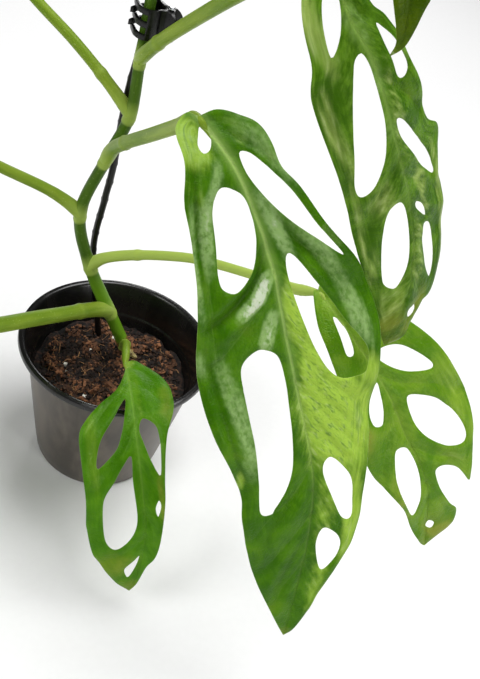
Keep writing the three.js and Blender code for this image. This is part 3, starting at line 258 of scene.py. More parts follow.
# Each leaf, in mm. Its stalk: the stem node it grows from, its way points, its radius at foot and blade,
# how far up its sheath reaches, how far it swells there ("knuckle", 1 unless given) and how pale it is
# all along ("pallor"). Its blade: its pattern and whether that is mirrored or widened, the lift and
# droop of its halves, its colouring, its midrib in space and where its show side faces along it. On it,
# at s and t of its pattern: pale spots, spots of painted gloss, deep green spots of painted shade and
# aged spots, with their half lengths and strength; strips of painted gloss, with their half width,
# strength and line; and folds, with their depth, half width and line.
LEAVES = {
    1: {
        "node": "one", "stalk": [(4, 6, 75), (7, -8, 83)], "radii": (2.4, 1.7), "sheath": 12,
        "pattern": "small", "lift": 0.1, "droop": 0.003, "colouring": "plain",
        "spine": [(9.5, -21, 88), (16, -38, 92.5), (25, -59, 91.5), (34, -75, 80), (41.5, -85, 66),
                  (47.5, -93, 51), (49.5, -99, 34), (48.5, -104, 15.5)],
        "faces": [(-0.1, -0.1, 1), (0, -0.3, 0.9), (0.1, -0.8, 0.5), (0.2, -0.9, 0.3)],
        "pale": [
            (30, 3, 30, 2, 0.35), (0, 0, 9, 5, 0.8), (56, -22, 30, 4, 0.45), (20, -6, 12, 4, 0.3),
        ],
        "aged": [
            (38, 17, 15, 5, 0.5), (124, -12, 16, 12, 0.45), (136, 0, 8, 6, 0.5), (84, 9, 30, 2, 0.5),
        ],
        "folds": [(0.7, 2.2, [(14, -1), (40, -15), (60, -23)]), (0.6, 2.2, [(10, 4), (30, 13)])],
    },
    2: {
        "node": "two", "stalk": [(-15.5, 1.5, 96), (-28, -21, 105.5), (-38, -40.5, 114), (-47, -59, 122),
                                 (-58, -83, 134)],
        "radii": (3.8, 3.9), "sheath": 38, "pattern": "broad", "mirrored": True,
        "lift": 0.1, "droop": 0.004, "colouring": "marbled",
        "spine": [(-73, -108, 146), (-86, -124, 140), (-100, -138, 120), (-110, -149, 93),
                  (-118, -160, 63), (-122, -168, 30)],
        "faces": [(-0.3, -0.4, 0.9), (-0.5, -0.65, 0.5), (-0.5, -0.8, 0.2)],
        "pale": [(30, -14, 24, 8, 0.6), (96, 16, 26, 9, 0.5)],
    },
    3: {
        "node": "three", "stalk": [(-17, 7, 126.5), (-3, 3, 137), (15, -5, 149.5), (33, -14, 160.5),
                                   (58, -31, 174.5), (77.5, -43.5, 183.5)],
        "radii": (2.7, 2.2), "sheath": 46, "pattern": "broad", "lift": 0.1, "droop": 0.003,
        "colouring": "bright", "pallor": 0.95,
        "spine": [(89, -49, 191), (103, -55, 183), (120, -59, 170), (136, -61, 154), (148, -63, 138.5),
                  (160, -64, 125), (170, -66, 110), (175, -68, 94), (180, -71, 79)],
        "faces": [(0.35, -0.6, 0.7), (0.45, -0.75, 0.45), (0.45, -0.7, 0.4)],
        "pale": [(80, 31, 30, 7, 0.5), (112, 16, 16, 8, 0.45), (20, 6, 16, 6, 0.35)],
        "aged": [(148, 8, 16, 14, 0.8), (60, -20, 34, 5, 0.6), (118, -14, 18, 6, 0.5)],
        "folds": [(0.8, 2.6, [(30, 6), (46, 22)]), (0.8, 2.6, [(92, 6), (112, 19)])],
    },
    4: {
        "node": "four", "stalk": [(-39, 5, 155), (-50.5, 0.5, 162.5), (-70.5, -9.5, 173.5),
                                  (-91.5, -21, 186.5)],
        "radii": (2.9, 2.6), "sheath": 30, "knuckle": 0, "pattern": "long", "mirrored": True,
        "width": 0.78, "lift": 0.12, "droop": 0.004, "colouring": "marbled",
        "spine": [(-112, -31, 205), (-128, -42, 199), (-143, -52, 180), (-154, -61, 153),
                  (-161, -69, 121), (-167, -75, 90), (-170, -78, 58)],
        "faces": [(-0.3, -0.3, 0.9), (-0.65, -0.6, 0.45), (-0.7, -0.7, 0.15)],
        "pale": [(70, 18, 34, 8, 0.7), (150, -14, 30, 8, 0.6)],
    },
    5: {
        "node": "five", "stalk": [(-21, 1.5, 195.5), (-12.5, -13.5, 210.5), (0.5, -33.5, 230),
                                  (13.5, -57, 251.5), (20, -70.5, 263.5)],
        "radii": (3.1, 3), "sheath": 44, "pattern": "long", "lift": 0.12, "droop": 0.003,
        "colouring": "marbled",
        "spine": [(24.5, -83, 274), (44, -88, 259), (63.5, -94.5, 234), (79.5, -102, 205),
                  (92, -107.5, 181.5), (108.5, -115, 149.5), (116.5, -123.5, 118), (122, -138, 68.5)],
        "faces": [(0.25, -0.62, 0.74), (0.41, -0.8, 0.44), (0.35, -0.9, 0.25)],
        "pale": [
            (133, 15, 28, 17, 1.2), (108, 8, 20, 6, 1.0), (84, 5, 18, 4.5, 0.9), (118, 30, 10, 8, 0.7),
            (174, 18, 34, 4, 0.8), (172, 6, 30, 5, 0.5), (212, 9, 22, 5, 0.5), (5, -10, 12, 8, 0.95),
            (24, -19, 14, 4, 0.3), (56, -29, 30, 3, 0.3), (148, -31, 7, 2, 0.6), (12, 9, 10, 4, 0.3),
        ],
        # Painted gloss: a grey-green shine laid into the colour of the base lobe.
        "silver": [(5, -10, 12, 7, 0.6)],
        # Strips of painted gloss, mostly on the lit slopes beside the folds.
        "painted_gloss_bands": [
            (2.6, 1.9, [(65, -2), (70, -6), (74, -10), (79, -18)]),
            (3.6, 1.15, [(79, -2), (84, -5.5), (90, -8.5), (97, -12)]),
            (3.2, 0.95, [(12, -4), (20, -7), (25, -11), (31, -17), (44, -22), (62, -25.5)]),
            (2.6, 0.8, [(18, -17), (30, -23), (44, -28), (58, -31), (84, -33)]),
            (3.6, 0.95, [(30, 2.5), (42, 5), (54, 6.5), (66, 8.5)]),
            (4.6, 0.68, [(34, 9), (48, 13), (60, 19), (74, 25), (88, 28)]),
            (4.8, 0.85, [(70, 25), (90, 30), (110, 32)]),
            (5.4, 0.66, [(2, 6), (12, 11), (26, 16), (44, 20)]),
            (5.0, 0.75, [(84, -30), (104, -27), (126, -25), (156, -25)]),
            (3.0, 0.7, [(84, -35), (92, -36), (100, -35)]),
        ],
        # Painted shade: deep green where the folds' valleys lie in shadow.
        "deep": [
            (63, -11, 5, 5, 0.2), (69, -20, 5, 6, 0.2), (58, 11, 14, 2, 0.3), (84, -12, 3, 6, 0.25),
        ],
        "aged": [(240, 0, 5, 5, 0.5)],
        "folds": [
            (3.0, 3.0, [(56, -1.5), (64, -6), (68, -10), (73, -17), (77, -24), (80, -31)]),
            (1.4, 1.8, [(12, -12), (20, -17), (36, -23), (49, -25.5), (62, -28)]),
            (1.0, 1.6, [(84, -33), (97, -32.5), (117, -32), (142, -30), (162, -26)]),
            (1.2, 2.0, [(6, 4), (12, 6), (22, 12), (30, 15)]),
            (1.2, 1.8, [(38, 5), (46, 8), (57, 13), (67, 19), (77, 23)]),
            (0.5, 1.0, [(46, 12), (50, 17)]), (0.5, 1.1, [(55, 15), (57, 20)]),
            (0.6, 1.1, [(64, 19), (67, 25)]), (0.5, 1.0, [(73, 22), (74, 28)]),
            (0.6, 1.1, [(83, 23), (87, 30)]), (0.5, 1.0, [(96, 25), (97, 33)]),
            (0.5, 1.0, [(28, -14), (33, -21)]), (0.5, 1.0, [(40, -19), (42, -26)]),
            (0.6, 1.1, [(92, -26), (95, -34)]), (0.5, 1.0, [(108, -22), (112, -31)]),
            (0.7, 1.8, [(92, 5), (102, 12), (112, 20), (120, 27)]),
            (0.6, 1.8, [(110, 5), (124, 12), (138, 20), (146, 25)]),
            (0.6, 1.8, [(126, 3), (140, 9), (150, 14)]),
            (0.7, 3.0, [(160, -6), (178, -16), (196, -22)]),
            (0.8, 2.4, [(188, -2), (206, -8), (224, -9)]),
        ],
    },
    6: {
        "node": "six", "stalk": [(-22, 7, 217.5), (-35, 10, 227), (-50.5, 12.5, 237.5),
                                 (-69, 13.5, 249.5), (-92.5, 15, 266)],
        "radii": (2.7, 2.4), "sheath": 34, "pattern": "narrow", "mirrored": True, "width": 1.15,
        "lift": 0.1, "droop": 0.005, "colouring": "marbled",
        "spine": [(-116, 18, 286), (-132, 17, 283), (-150, 15, 265), (-163, 12, 239), (-171, 8, 208),
                  (-175, 4, 177), (-176, 0, 145)],
        "faces": [(-0.4, -0.1, 0.9), (-0.85, -0.1, 0.45), (-0.95, -0.1, 0.1)],
        "pale": [(60, 16, 30, 6, 0.7), (120, -10, 24, 6, 0.6)],
    },
    7: {
        "node": "seven", "stalk": [(-13.5, -1.5, 249.5), (-5, -12.5, 264), (9.5, -29.5, 285.5),
                                   (26.5, -52.5, 310.5), (41, -67, 328)],
        "radii": (2.9, 3), "sheath": 36, "pattern": "narrow", "width": 1.02, "lift": -0.36, "droop": 0,
        "colouring": "olive",
        "spine": [(54, -80, 342), (65, -86, 327), (78, -87, 314), (92.5, -82.5, 290), (108.5, -71, 259),
                  (120, -64, 228.5), (123.5, -64, 205.5), (122.5, -65, 185.5)],
        "faces": [(0.4, -0.75, 0.5), (0.67, -0.69, 0.28), (0.6, -0.8, 0.1)],
        "pale": [
            (16, -12, 18, 4, 0.75), (46, -19, 26, 3, 0.42), (66, -16, 14, 1.5, 0.5),
            (96, -19, 30, 2, 0.5), (62, -11, 22, 1.5, 0.5), (58, 4, 22, 3, 0.5), (96, 8, 16, 4, 0.55),
            (126, 3, 22, 4, 0.45), (124, -16, 18, 3, 0.45), (90, -10, 12, 6, 0.5), (108, 18, 40, 2, 0.5),
            (148, -6, 16, 6, 0.5),
        ],
        # Painted gloss near the midrib.
        "silver": [(22, 1, 12, 5, 0.5), (40, -1, 12, 4, 0.55), (58, -1, 14, 4, 0.4)],
        "aged": [(164, 0, 16, 12, 0.6), (150, 8, 14, 6, 0.5)],
        "folds": [
            (0.7, 2.4, [(18, -6), (34, -15), (60, -18), (84, -19)]),
            (0.8, 2.8, [(74, -2), (90, -10), (106, -17)]),
            (0.8, 2.6, [(40, 3), (52, 11), (66, 17)]),
        ],
    },
    8: {
        "node": "eight", "stalk": [(-23, 12, 284), (-34, 24, 300), (-46, 38, 321)], "radii": (2.5, 2),
        "sheath": 22, "pattern": "young", "mirrored": True, "lift": 0.15, "droop": 0.005,
        "colouring": "marbled",
        "spine": [(-60, 54, 344), (-74, 64, 344), (-91, 76, 332), (-104, 86, 311), (-112, 93, 286),
                  (-116, 98, 260), (-117, 101, 236)],
        "faces": [(-0.3, 0.2, 0.95), (-0.65, 0.45, 0.6), (-0.8, 0.6, 0.15)],
        "pale": [(40, 14, 22, 7, 0.6)],
    },
    9: {
        "node": "nine", "stalk": [(-7, 4, 318), (8, -9, 338), (28, -26, 365), (48, -43, 396)],
        "radii": (2.4, 2.1), "sheath": 30, "pattern": "young", "width": 0.88, "lift": 0.15,
        "droop": 0.004, "colouring": "shaded",
        "spine": [(66, -60, 426), (76, -70, 423), (83.5, -79, 408), (86, -85, 388), (83.5, -88.5, 369),
                  (80, -90, 351.5), (81, -92.5, 341), (82.5, -93, 332.5), (83, -92.5, 326),
                  (81, -91.5, 320.5)],
        "faces": [(0.2, -0.3, 0.9), (0.3, -0.85, 0.5), (0.2, -0.95, 0.2)],
        "pale": [(30, -14, 18, 6, 0.5)],
    },
}

# The tissue colours of each colouring: deep, middle, pale, cream, midrib; how far the marbling goes,
# how mottled the plain green is, and how glossy the skin.
COLOURINGS = {
    "marbled": ("#316002", "#4b7a0b", "#9cbe42", "#bcd07e", "#b0cf74", 1.0, 0.28, 0.16),
    "olive": ("#3a620a", "#5f8820", "#a2b85e", "#bccd86", "#88aa4c", 1.2, 0.55, 0.07),
    "bright": ("#4f7d0a", "#729722", "#8fae3a", "#a6c056", "#8cac44", 0.55, 0.3, 0.26),
    "plain": ("#3c7005", "#52870f", "#88a632", "#abc566", "#7aa63c", 0.4, 0.3, 0.26),
    "shaded": ("#364f02", "#4c6204", "#7d9228", "#98a850", "#3c5406", 0.35, 0.3, 0.16),
}


# ---------------------------------------------------------------- sizes and colours a user may change
class PotSettings(bpy.types.PropertyGroup):
    """The nursery pot."""

    # The wall's paler colour is partly dust and partly a painted reflection of the floor; the lip and
    # the inside are near black, partly painted shade.
    colour: FloatVectorProperty(
        name="Wall", description="Colour of the dusty outside wall", subtype="COLOR", size=4,
        default=(0.062, 0.051, 0.042, 1), min=0, max=1,
    )
    lip_colour: FloatVectorProperty(
        name="Lip", description="Colour of the clean lip and inside", subtype="COLOR", size=4,
        default=(0.005, 0.005, 0.0045, 1), min=0, max=1,
    )
    roughness: FloatProperty(
        name="Roughness", description="How dull the wall is", default=0.36, min=0.05, max=1,
        subtype="FACTOR",
    )


class MixSettings(bpy.types.PropertyGroup):
    """The bark and coir mix."""

    chips: IntProperty(
        name="Bark chips", description="Chips lying on top", default=420, min=0, max=1500,
    )
    crumbs: IntProperty(
        name="Crumbs", description="Small crumbs of bark lying on top", default=2600, min=0, max=4000,
    )
    specks: IntProperty(
        name="Pale specks", description="Pale bits of coir pith on top", default=90, min=0, max=500,
    )
    fibres: IntProperty(
        name="Coir fibres", description="Loose fibres lying on top", default=110, min=0, max=800,
    )
    grains: IntProperty(
        name="Perlite grains", description="White grains lying on top", default=9, min=0, max=300,
    )
    relief: FloatProperty(
        name="Relief", description="How uneven the top is", default=0.0019, min=0, max=0.003,
        unit="LENGTH",
    )


class LeafSettings(bpy.types.PropertyGroup):
    """The nine open leaves."""

    thickness: FloatProperty(
        name="Thickness", description="Thickness of a blade", default=0.0006, min=0.0003, max=0.0009,
        unit="LENGTH",
    )
    groove: FloatProperty(
        name="Vein groove", description="How deep the side veins lie in the show side", default=0.0003,
        min=0, max=0.0015, unit="LENGTH",
    )
    quilt: FloatProperty(
        name="Quilting", description="How far the blade swells between its veins", default=0.0011,
        min=0, max=0.002, unit="LENGTH",
    )
    pucker: FloatProperty(
        name="Pucker", description="Height of the uneven puckers", default=0.0004, min=0, max=0.0015,
        unit="LENGTH",
    )
    roughness: FloatProperty(
        name="Roughness", description="Dullness of the waxy skin", default=0.34, min=0.05, max=1,
        subtype="FACTOR",
    )


class StudioSettings(bpy.types.PropertyGroup):
    """The floor and lights."""

    key: FloatProperty(
        name="Key light", description="Power of the light at the left", default=9, min=0, unit="POWER",
    )
    fill: FloatProperty(
        name="Fill light", description="Power of the light at the right", default=4, min=0, unit="POWER",
    )
    top: FloatProperty(
        name="Top light", description="Power of the light above", default=17, min=0, unit="POWER",
    )
    rim: FloatProperty(
        name="Rim light", description="Power of the light behind", default=1.6, min=0, unit="POWER",
    )
    sky: FloatProperty(
        name="Sky", description="Strength of the light from all round", default=0.1, min=0,
    )
    floor: FloatVectorProperty(
        name="Floor", description="Colour of the floor", subtype="COLOR", size=4,
        default=(0.95, 0.95, 0.95, 1), min=0, max=1,
    )


class PlantSettings(bpy.types.PropertyGroup):
    """All settings of the potted plant."""

    pot: PointerProperty(type=PotSettings)
    mix: PointerProperty(type=MixSettings)
    leaf: PointerProperty(type=LeafSettings)
    studio: PointerProperty(type=StudioSettings)


# ---------------------------------------------------------------- lines in space
def smooth(points, closed=False, pieces=24):
    """Many points of a smooth line through the given ones."""
    p = np.asarray(points, float)
    if closed:
        p = np.concatenate([p[-1:], p, p[:2]])
    else:
        p = np.concatenate([[2 * p[0] - p[1]], p, [2 * p[-1] - p[-2]]])
    q = (np.arange(pieces) / pieces)[:, None]
    spans = []
    for a, b, c, d in zip(p[:-3], p[1:-2], p[2:-1], p[3:]):
        bend = (2 * a - 5 * b + 4 * c - d) * q**2 + (3 * b - a - 3 * c + d) * q**3
        spans.append(b + 0.5 * ((c - a) * q + bend))
    return np.concatenate(spans if closed else spans + [p[-2:-1]])


def lengths(points):
    """How far along a line each of its points lies."""
    return np.concatenate([[0], np.cumsum(np.linalg.norm(np.diff(points, axis=0), axis=1))])


def walk(points, closed=False, step=1.0):
    """Points along a smooth line, a step apart, both of its ends kept if it is open."""
    dense = smooth(points, closed)
    if closed:
        dense = np.concatenate([dense, dense[:1]])
    marks = lengths(dense)
    count = max(4, int(round(marks[-1] / step)))
    at = np.linspace(0, marks[-1], count + 1)
    at = at[:-1] if closed else at
    return np.stack([np.interp(at, marks, column) for column in dense.T], -1)


class Line:
    """A smooth line through points in space, read by the distance from its start."""

    def __init__(self, points):
        self.dense = smooth(points, pieces=48)
        self.marks = lengths(self.dense)
        self.length = self.marks[-1]

    def _inner(self, s):
        """The points at s, which lies between the line's ends."""
        return np.stack([np.interp(s, self.marks, column) for column in self.dense.T], -1)

    def direction(self, s):
        """Which way the line runs at s."""
        s = np.clip(s, 0.5, self.length - 0.5)
        way = self._inner(s + 0.5) - self._inner(s - 0.5)
        return way / np.linalg.norm(way, axis=-1, keepdims=True)

    def at(self, s):
        """The points at s. Beyond its ends the line runs on straight."""
        s = np.asarray(s, float)
        inner = np.clip(s, 0, self.length)
        return self._inner(inner) + (s - inner)[..., None] * self.direction(s)

    def nearest(self, point):
        """How far along the line its nearest place to a point lies."""
        return self.marks[np.argmin(np.linalg.norm(self.dense - np.asarray(point, float), axis=1))]


def on_circle(radius, angle):
    """The place on a circle at an angle."""
    return radius * math.cos(angle), radius * math.sin(angle)


def unit(v):
    """Vectors of length one."""
    return v / np.linalg.norm(v, axis=-1, keepdims=True)


def bump(x, width):
    """A smooth rise of 1 at 0 that dies away over a width."""
    return np.exp(-((np.asarray(x, float) / width) ** 2))


# ---------------------------------------------------------------- meshes
def only(obj):
    """Selects one object and nothing else."""
    bpy.ops.object.select_all(action="DESELECT")
    obj.select_set(True)
    bpy.context.view_layer.objects.active = obj


def make_object(name, points, faces, materials, marks=None, kinds=None):
    """A smooth object from points in millimetres, its place in its mesh. Marks are numbers or vectors
    kept at every point for its material, kinds the material of every face."""
    mesh = bpy.data.meshes.new(name)
    mesh.from_pydata((np.asarray(points, float) * MM).tolist(), [], faces)
    for mark, values in (marks or {}).items():
        values = np.asarray(values, np.float32)
        vector = values.ndim == 2
        layer = mesh.attributes.new(mark, "FLOAT_VECTOR" if vector else "FLOAT", "POINT")
        layer.data.foreach_set("vector" if vector else "value", values.ravel())
    for material in materials:
        mesh.materials.append(material)
    if kinds is not None:
        mesh.polygons.foreach_set("material_index", np.asarray(kinds, np.int32))
    mesh.polygons.foreach_set("use_smooth", np.ones(len(mesh.polygons), bool))
    mesh.update()
    obj = bpy.data.objects.new(name, mesh)
    bpy.context.scene.collection.objects.link(obj)
    return obj


class Heap:
    """Gathers shapes into one mesh, each with the number of its material and its own marks."""

    def __init__(self):
        self.points, self.faces, self.kinds, self.marks = [], [], [], {}
        self.count = 0

    def put(self, points, faces, kind, **marks):
        """Adds a shape. A mark that is one number is the same all over it."""
        self.points.append(points)
        self.faces += [tuple(i + self.count for i in face) for face in faces]
        self.kinds += [kind] * len(faces)
        for mark, values in marks.items():
            values = values if np.ndim(values) else np.full(len(points), values)
            self.marks.setdefault(mark, []).append(values)
        self.count += len(points)

    def build(self, name, materials):
        """Makes one object of all shapes."""
        marks = {mark: np.concatenate(values) for mark, values in self.marks.items()}
        return make_object(name, np.concatenate(self.points), self.faces, materials, marks, self.kinds)


def stand_for(obj, node, body=PLANT):
    """The object takes the place of a solid, which it hides, and rides with its body."""
    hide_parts(node)
    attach(obj, body)
    return obj


def shoot(line, stations, radius, sides, profile=None):
    """The skin of a round shoot along a line. Returns points, faces, and the skin mark: a place round
    the shoot and along it, on which streaks run lengthwise without a seam."""
    stations = np.asarray(stations, float)
    centres, ways = line.at(stations), line.direction(stations)
    side = np.cross(ways[0], (0, 0, 1) if abs(ways[0][2]) < 0.9 else (0, 1, 0))
    sides_at, angles = [], TURN * np.arange(sides) / sides
    for way in ways:
        side = unit(side - way * side.dot(way))
        sides_at.append(side)
    sides_at = np.array(sides_at)
    tops = np.cross(sides_at, ways)
    r = np.asarray([radius(s) for s in stations], float)[:, None] * np.ones(sides)
    if profile is not None:
        r = r * profile(angles[None, :], stations[:, None])
    points = (
        centres[:, None]
        + sides_at[:, None] * (r * np.cos(angles))[..., None]
        + tops[:, None] * (r * np.sin(angles))[..., None]
    ).reshape(-1, 3)
    skin = np.stack(
        [r * np.cos(angles), r * np.sin(angles), np.broadcast_to(stations[:, None], r.shape)], -1
    ).reshape(-1, 3)
    faces = []
    for i in range(len(stations) - 1):
        for k in range(sides):
            a, b = i * sides + k, i * sides + (k + 1) % sides
            faces.append((b, a, a + sides, b + sides))
    faces.append(tuple(range(sides)))
    last = (len(stations) - 1) * sides
    faces.append(tuple(last + k for k in reversed(range(sides))))
    return points, faces, skin


# ---------------------------------------------------------------- materials
# The waxy skin of leaf, stalk and stem: a gloss tinged with green, and a little light that gets inside.
CUTICLE = {
    "IOR": 1.45, "Specular Tint": (0.8, 1.0, 0.5, 1), "Subsurface Weight": 0.12,
    "Subsurface Scale": 0.0012,
}
SMOOTH = {"interpolation_type": "SMOOTHSTEP"}
BLACK = {"IOR": 1.5, "Specular IOR Level": 0.35}

# Finishes that follow one grain of their own: its size in metres and its detail, where on it the second
# colour starts and where it is full, both colours, the depth of the relief in metres and the shader's
# constants; and, where the gloss follows the grain too, the roughness at those two places.
GRAINED = {
    # Dried aerial root: corky, brown and dull.
    "aerial root cork": (0.0012, 3, 0.4, 0.65, "#8c7a45", "#c3b585", 0.0002, {"Roughness": 0.8}),
    # Wet peat and coir dust between the chips: nearly black, and crumbly.
    "peat and coir dust": (0.0022, 5, 0.42, 0.68, "#0a0705", "#39241a", 0.0009, {"Roughness": 0.9}),
    # White, pitted glass foam.
    "expanded perlite": (0.0005, 3, 0.35, 0.6, "#b9b2a4", "#f2efe6", 0.0002, {"Roughness": 0.75}),
    # Zinc-bright wire: metallic, with fine marks from the drawing.
    "drawn spring wire": (
        0.0004, 2, 0.3, 0.7, "#a9acb0", "#d4d6d8", 0.00002, {"Metallic": 1.0, "Roughness": 0.25},
    ),
    # Deep black plastics with a clear gloss and a slight orange peel, finer where it was extruded.
    "moulded clip plastic": (0.0025, 2, 0.3, 0.7, "#050505", "#0f0f0e", 0.00005, BLACK, (0.25, 0.38)),
    "extruded coating": (0.0014, 2, 0.3, 0.7, "#050505", "#0f0f0e", 0.00005, BLACK, (0.27, 0.4)),
}


def linear(hex_colour):
    """An sRGB colour such as #4d8020, as the linear numbers that a shader takes."""
    parts = [int(hex_colour[i:i + 2], 16) / 255 for i in (1, 3, 5)]
    return (*[c / 12.92 if c <= 0.04045 else ((c + 0.055) / 1.055) ** 2.4 for c in parts], 1.0)


def add(tree, kind, inputs=None, out=0, **settings):
    """Adds a shader node with its settings and gives one of its outputs. An input is given a value, or
    a socket that is linked to it."""
    node = tree.nodes.new("ShaderNode" + kind)
    for key, value in settings.items():
        setattr(node, key, value)
    for key, value in (inputs or {}).items():
        if isinstance(value, bpy.types.NodeSocket):
            tree.links.new(value, node.inputs[key])
        else:
            node.inputs[key].default_value = value
    return node.outputs[out]


def blank(name, constants):
    """A new material, with the constants set on its shader's own sockets. Returns the material, its
    nodes and the shader."""
    material = bpy.data.materials.new(name)
    material.use_nodes = True
    shader = material.node_tree.nodes["Principled BSDF"]
    for socket, value in constants.items():
        shader.inputs[socket].default_value = value
    return material, material.node_tree, shader


def grain(tree, place, size, detail=3.0, stretch=(1, 1, 1), twist=0.0):
    """Cloudy noise with features of a size, in the place's own unit."""
    moved = add(tree, "Mapping", {"Vector": place, "Scale": tuple(1 / (size * k) for k in stretch)})
    return add(tree, "TexNoise", {"Vector": moved, "Scale": 1.0, "Detail": detail, "Distortion": twist},
               out="Fac")


def weighed(tree, rest, *parts):
    """Adds masks to the rest, each times its share."""
    for mask, share in parts:
        rest = add(tree, "Math", {0: mask, 1: share, 2: rest}, operation="MULTIPLY_ADD")
    return rest


def painted(tree, colour, layers):
    """Lays tints over a colour, one after the other. A layer is a tint and how much of it shows, or a
    tint, a mask, where on the mask it starts, where it is full, and how much of it shows there."""
    colour = linear(colour) if isinstance(colour, str) else colour
    for tint, shows, *spread in layers:
        if spread:
            low, high, share = spread
            shows = add(tree, "MapRange", {"Value": shows, "From Min": low, "From Max": high,
                                           "To Max": share}, **SMOOTH)
        tint = linear(tint) if isinstance(tint, str) else tint
        colour = add(tree, "Mix", {0: shows, 6: colour, 7: tint}, out=2, data_type="RGBA")
    return colour


def dress(tree, shader, colour, height=None, depth=0.0, gloss=None):
    """Gives a shader its colour and its relief, a height of 0 to 1 with its depth in metres. Where the
    gloss varies, it is a mask, two places on it and the roughness at both."""
    tree.links.new(colour, shader.inputs["Base Color"])
    if height:
        relief = add(tree, "Bump", {"Height": height, "Strength": 1.0, "Distance": depth})
        tree.links.new(relief, shader.inputs["Normal"])
    if gloss:
        sockets = ("Value", "From Min", "From Max", "To Min", "To Max")
        tree.links.new(add(tree, "MapRange", dict(zip(sockets, gloss))), shader.inputs["Roughness"])


def leaf_tissue(colouring, roughness):
    """Living leaf under a waxy cuticle: chlorophyll marbled with paler tissue, a gloss that breaks up on
    fine net veins, and a little light through the blade. Painted gloss and a painted highlight are laid
    into the colour where the leaf marks them, and painted shade in its creases."""
    deep, middle, pale, cream, rib, marbling, mottle, sheen = COLOURINGS[colouring]
    material, tree, shader = blank(f"leaf tissue, {colouring}", {
        **CUTICLE, "Specular IOR Level": sheen, "Subsurface Radius": (0.6, 1.0, 0.25),
    })
    flat, streak, strip = [add(tree, "Attribute", out="Vector", attribute_name=name)
                           for name in ("flat", "streak", "strip")]
    # Of these marks, the spots and strips of painted gloss and the deep mark of painted shade are
    # painted light, not tissue.
    marks = {name: add(tree, "Attribute", out="Fac", attribute_name=name)
             for name in ("outer", "to_midrib", "ribbed", "to_vein", "to_edge", "pale", "silver", "deep",
                          "aged", "under")}

    def along_veins(width, length, detail):
        """Noise drawn out along the side veins, and along the margin where the blade's strips run."""
        inner = grain(tree, streak, width, detail, stretch=(1, length, 1))
        strips = grain(tree, strip, width, detail, stretch=(1, 2 * length, 1))
        mixed = add(tree, "Mix", {0: marks["outer"], 2: inner, 3: strips})
        return weighed(tree, -0.5, (mixed, 1.0))

    # The marbling and the dents, each as wide as the first number says, in millimetres.
    clouds = grain(tree, flat, 13, 4, twist=0.5)
    strands = along_veins(1.8, 4, 3)
    flecks = along_veins(0.75, 5, 2)
    dents = grain(tree, streak, 1.9, 3, stretch=(1, 1.5, 1))
    coarse = weighed(tree, strands, (along_veins(5.5, 3, 2), 1.0))
    mottled = weighed(tree, clouds, (strands, mottle), (flecks, mottle))
    strength = weighed(tree, 0.3 * marbling, (marks["pale"], marbling))
    lift = weighed(tree, marks["pale"], (coarse, strength))
    light = painted(tree, pale, [(cream, strands, 0.0, 0.3, 1.0)])
    lime = add(tree, "MapRange", {"Value": marks["pale"], "From Min": 0.35, "From Max": 0.9,
                                  "To Max": 0.75 * marbling}, **SMOOTH)

    # The painted gloss breaks up on the dents: a painted highlight, whitest where it glares, and
    # wrinkled elsewhere.
    broken = weighed(tree, 0.45, (dents, 1.1), (coarse, 0.7))
    silver = weighed(tree, 0.0, (marks["silver"], broken))
    painted_sheen, painted_glare = [add(tree, "MapRange", {"Value": silver, "From Min": low, "From Max": high,
                                           "To Max": most}, **SMOOTH)
                    for low, high, most in ((0.25, 0.95, 0.62), (1.0, 1.6, 1.0))]
    # The painted highlight's colour: pale grey-green, near white where it glares.
    painted_highlight = painted(tree, "#a2c07c", [("#eef3de", painted_glare)])
    wrinkled = add(tree, "MapRange", {"Value": weighed(tree, painted_sheen, (painted_glare, -1.0))}, **SMOOTH)

    painted_shade, underside, flank, ridge = [
        weighed(tree, 0.0, (marks[name], share))
        for name, share in (("deep", 0.85), ("under", 0.55), ("ribbed", 0.35), ("ribbed", 0.8))
    ]
    colour = painted(tree, deep, [
        (middle, mottled, 0.32, 0.74, 1.0),
        (light, lift, 0.12, 0.95, 1.0),
        (middle, weighed(tree, flecks, (strands, 1.6)), -0.08, 0.42, lime),  # dark flecks in the lime
        # Painted gloss, and darker dents that break it up.
        (painted_highlight, painted_sheen),
        (middle, dents, 0.5, 0.3, wrinkled),
        # Painted shade: half of the deep green, in the folds' furrows and on the deep patches.
        (tuple(0.5 * c for c in linear(deep)[:3]) + (1,), painted_shade),
        ("#8c8f35", weighed(tree, marks["aged"], (clouds, 1.4)), 0.85, 1.7, 0.8),
        (rib, marks["to_midrib"], 4.0, 0.4, flank),
        (rib, marks["to_midrib"], 1.2, 0.12, ridge),
        (rib, marks["to_vein"], 0.9, 0.1, 0.05),
        (cream, marks["to_edge"], 0.4, 0.1, 0.3),
        ("#8ba860", underside),
    ])

    cells = add(tree, "TexVoronoi", {"Vector": flat, "Scale": 1 / 2.2}, out="Distance",
                feature="DISTANCE_TO_EDGE")  # net veins, 2.2 mm apart
    nets = add(tree, "MapRange", {"Value": cells, "From Min": 0.0, "From Max": 0.12}, **SMOOTH)
    leather = weighed(tree, grain(tree, flat, 0.8, 2), (nets, 0.35), (grain(tree, streak, 2.6, 2), 1.4))
    dress(tree, shader, colour, leather, 0.00018,
          (grain(tree, flat, 7, 3), 0.3, 0.7, roughness - 0.06, roughness + 0.06))
    return material


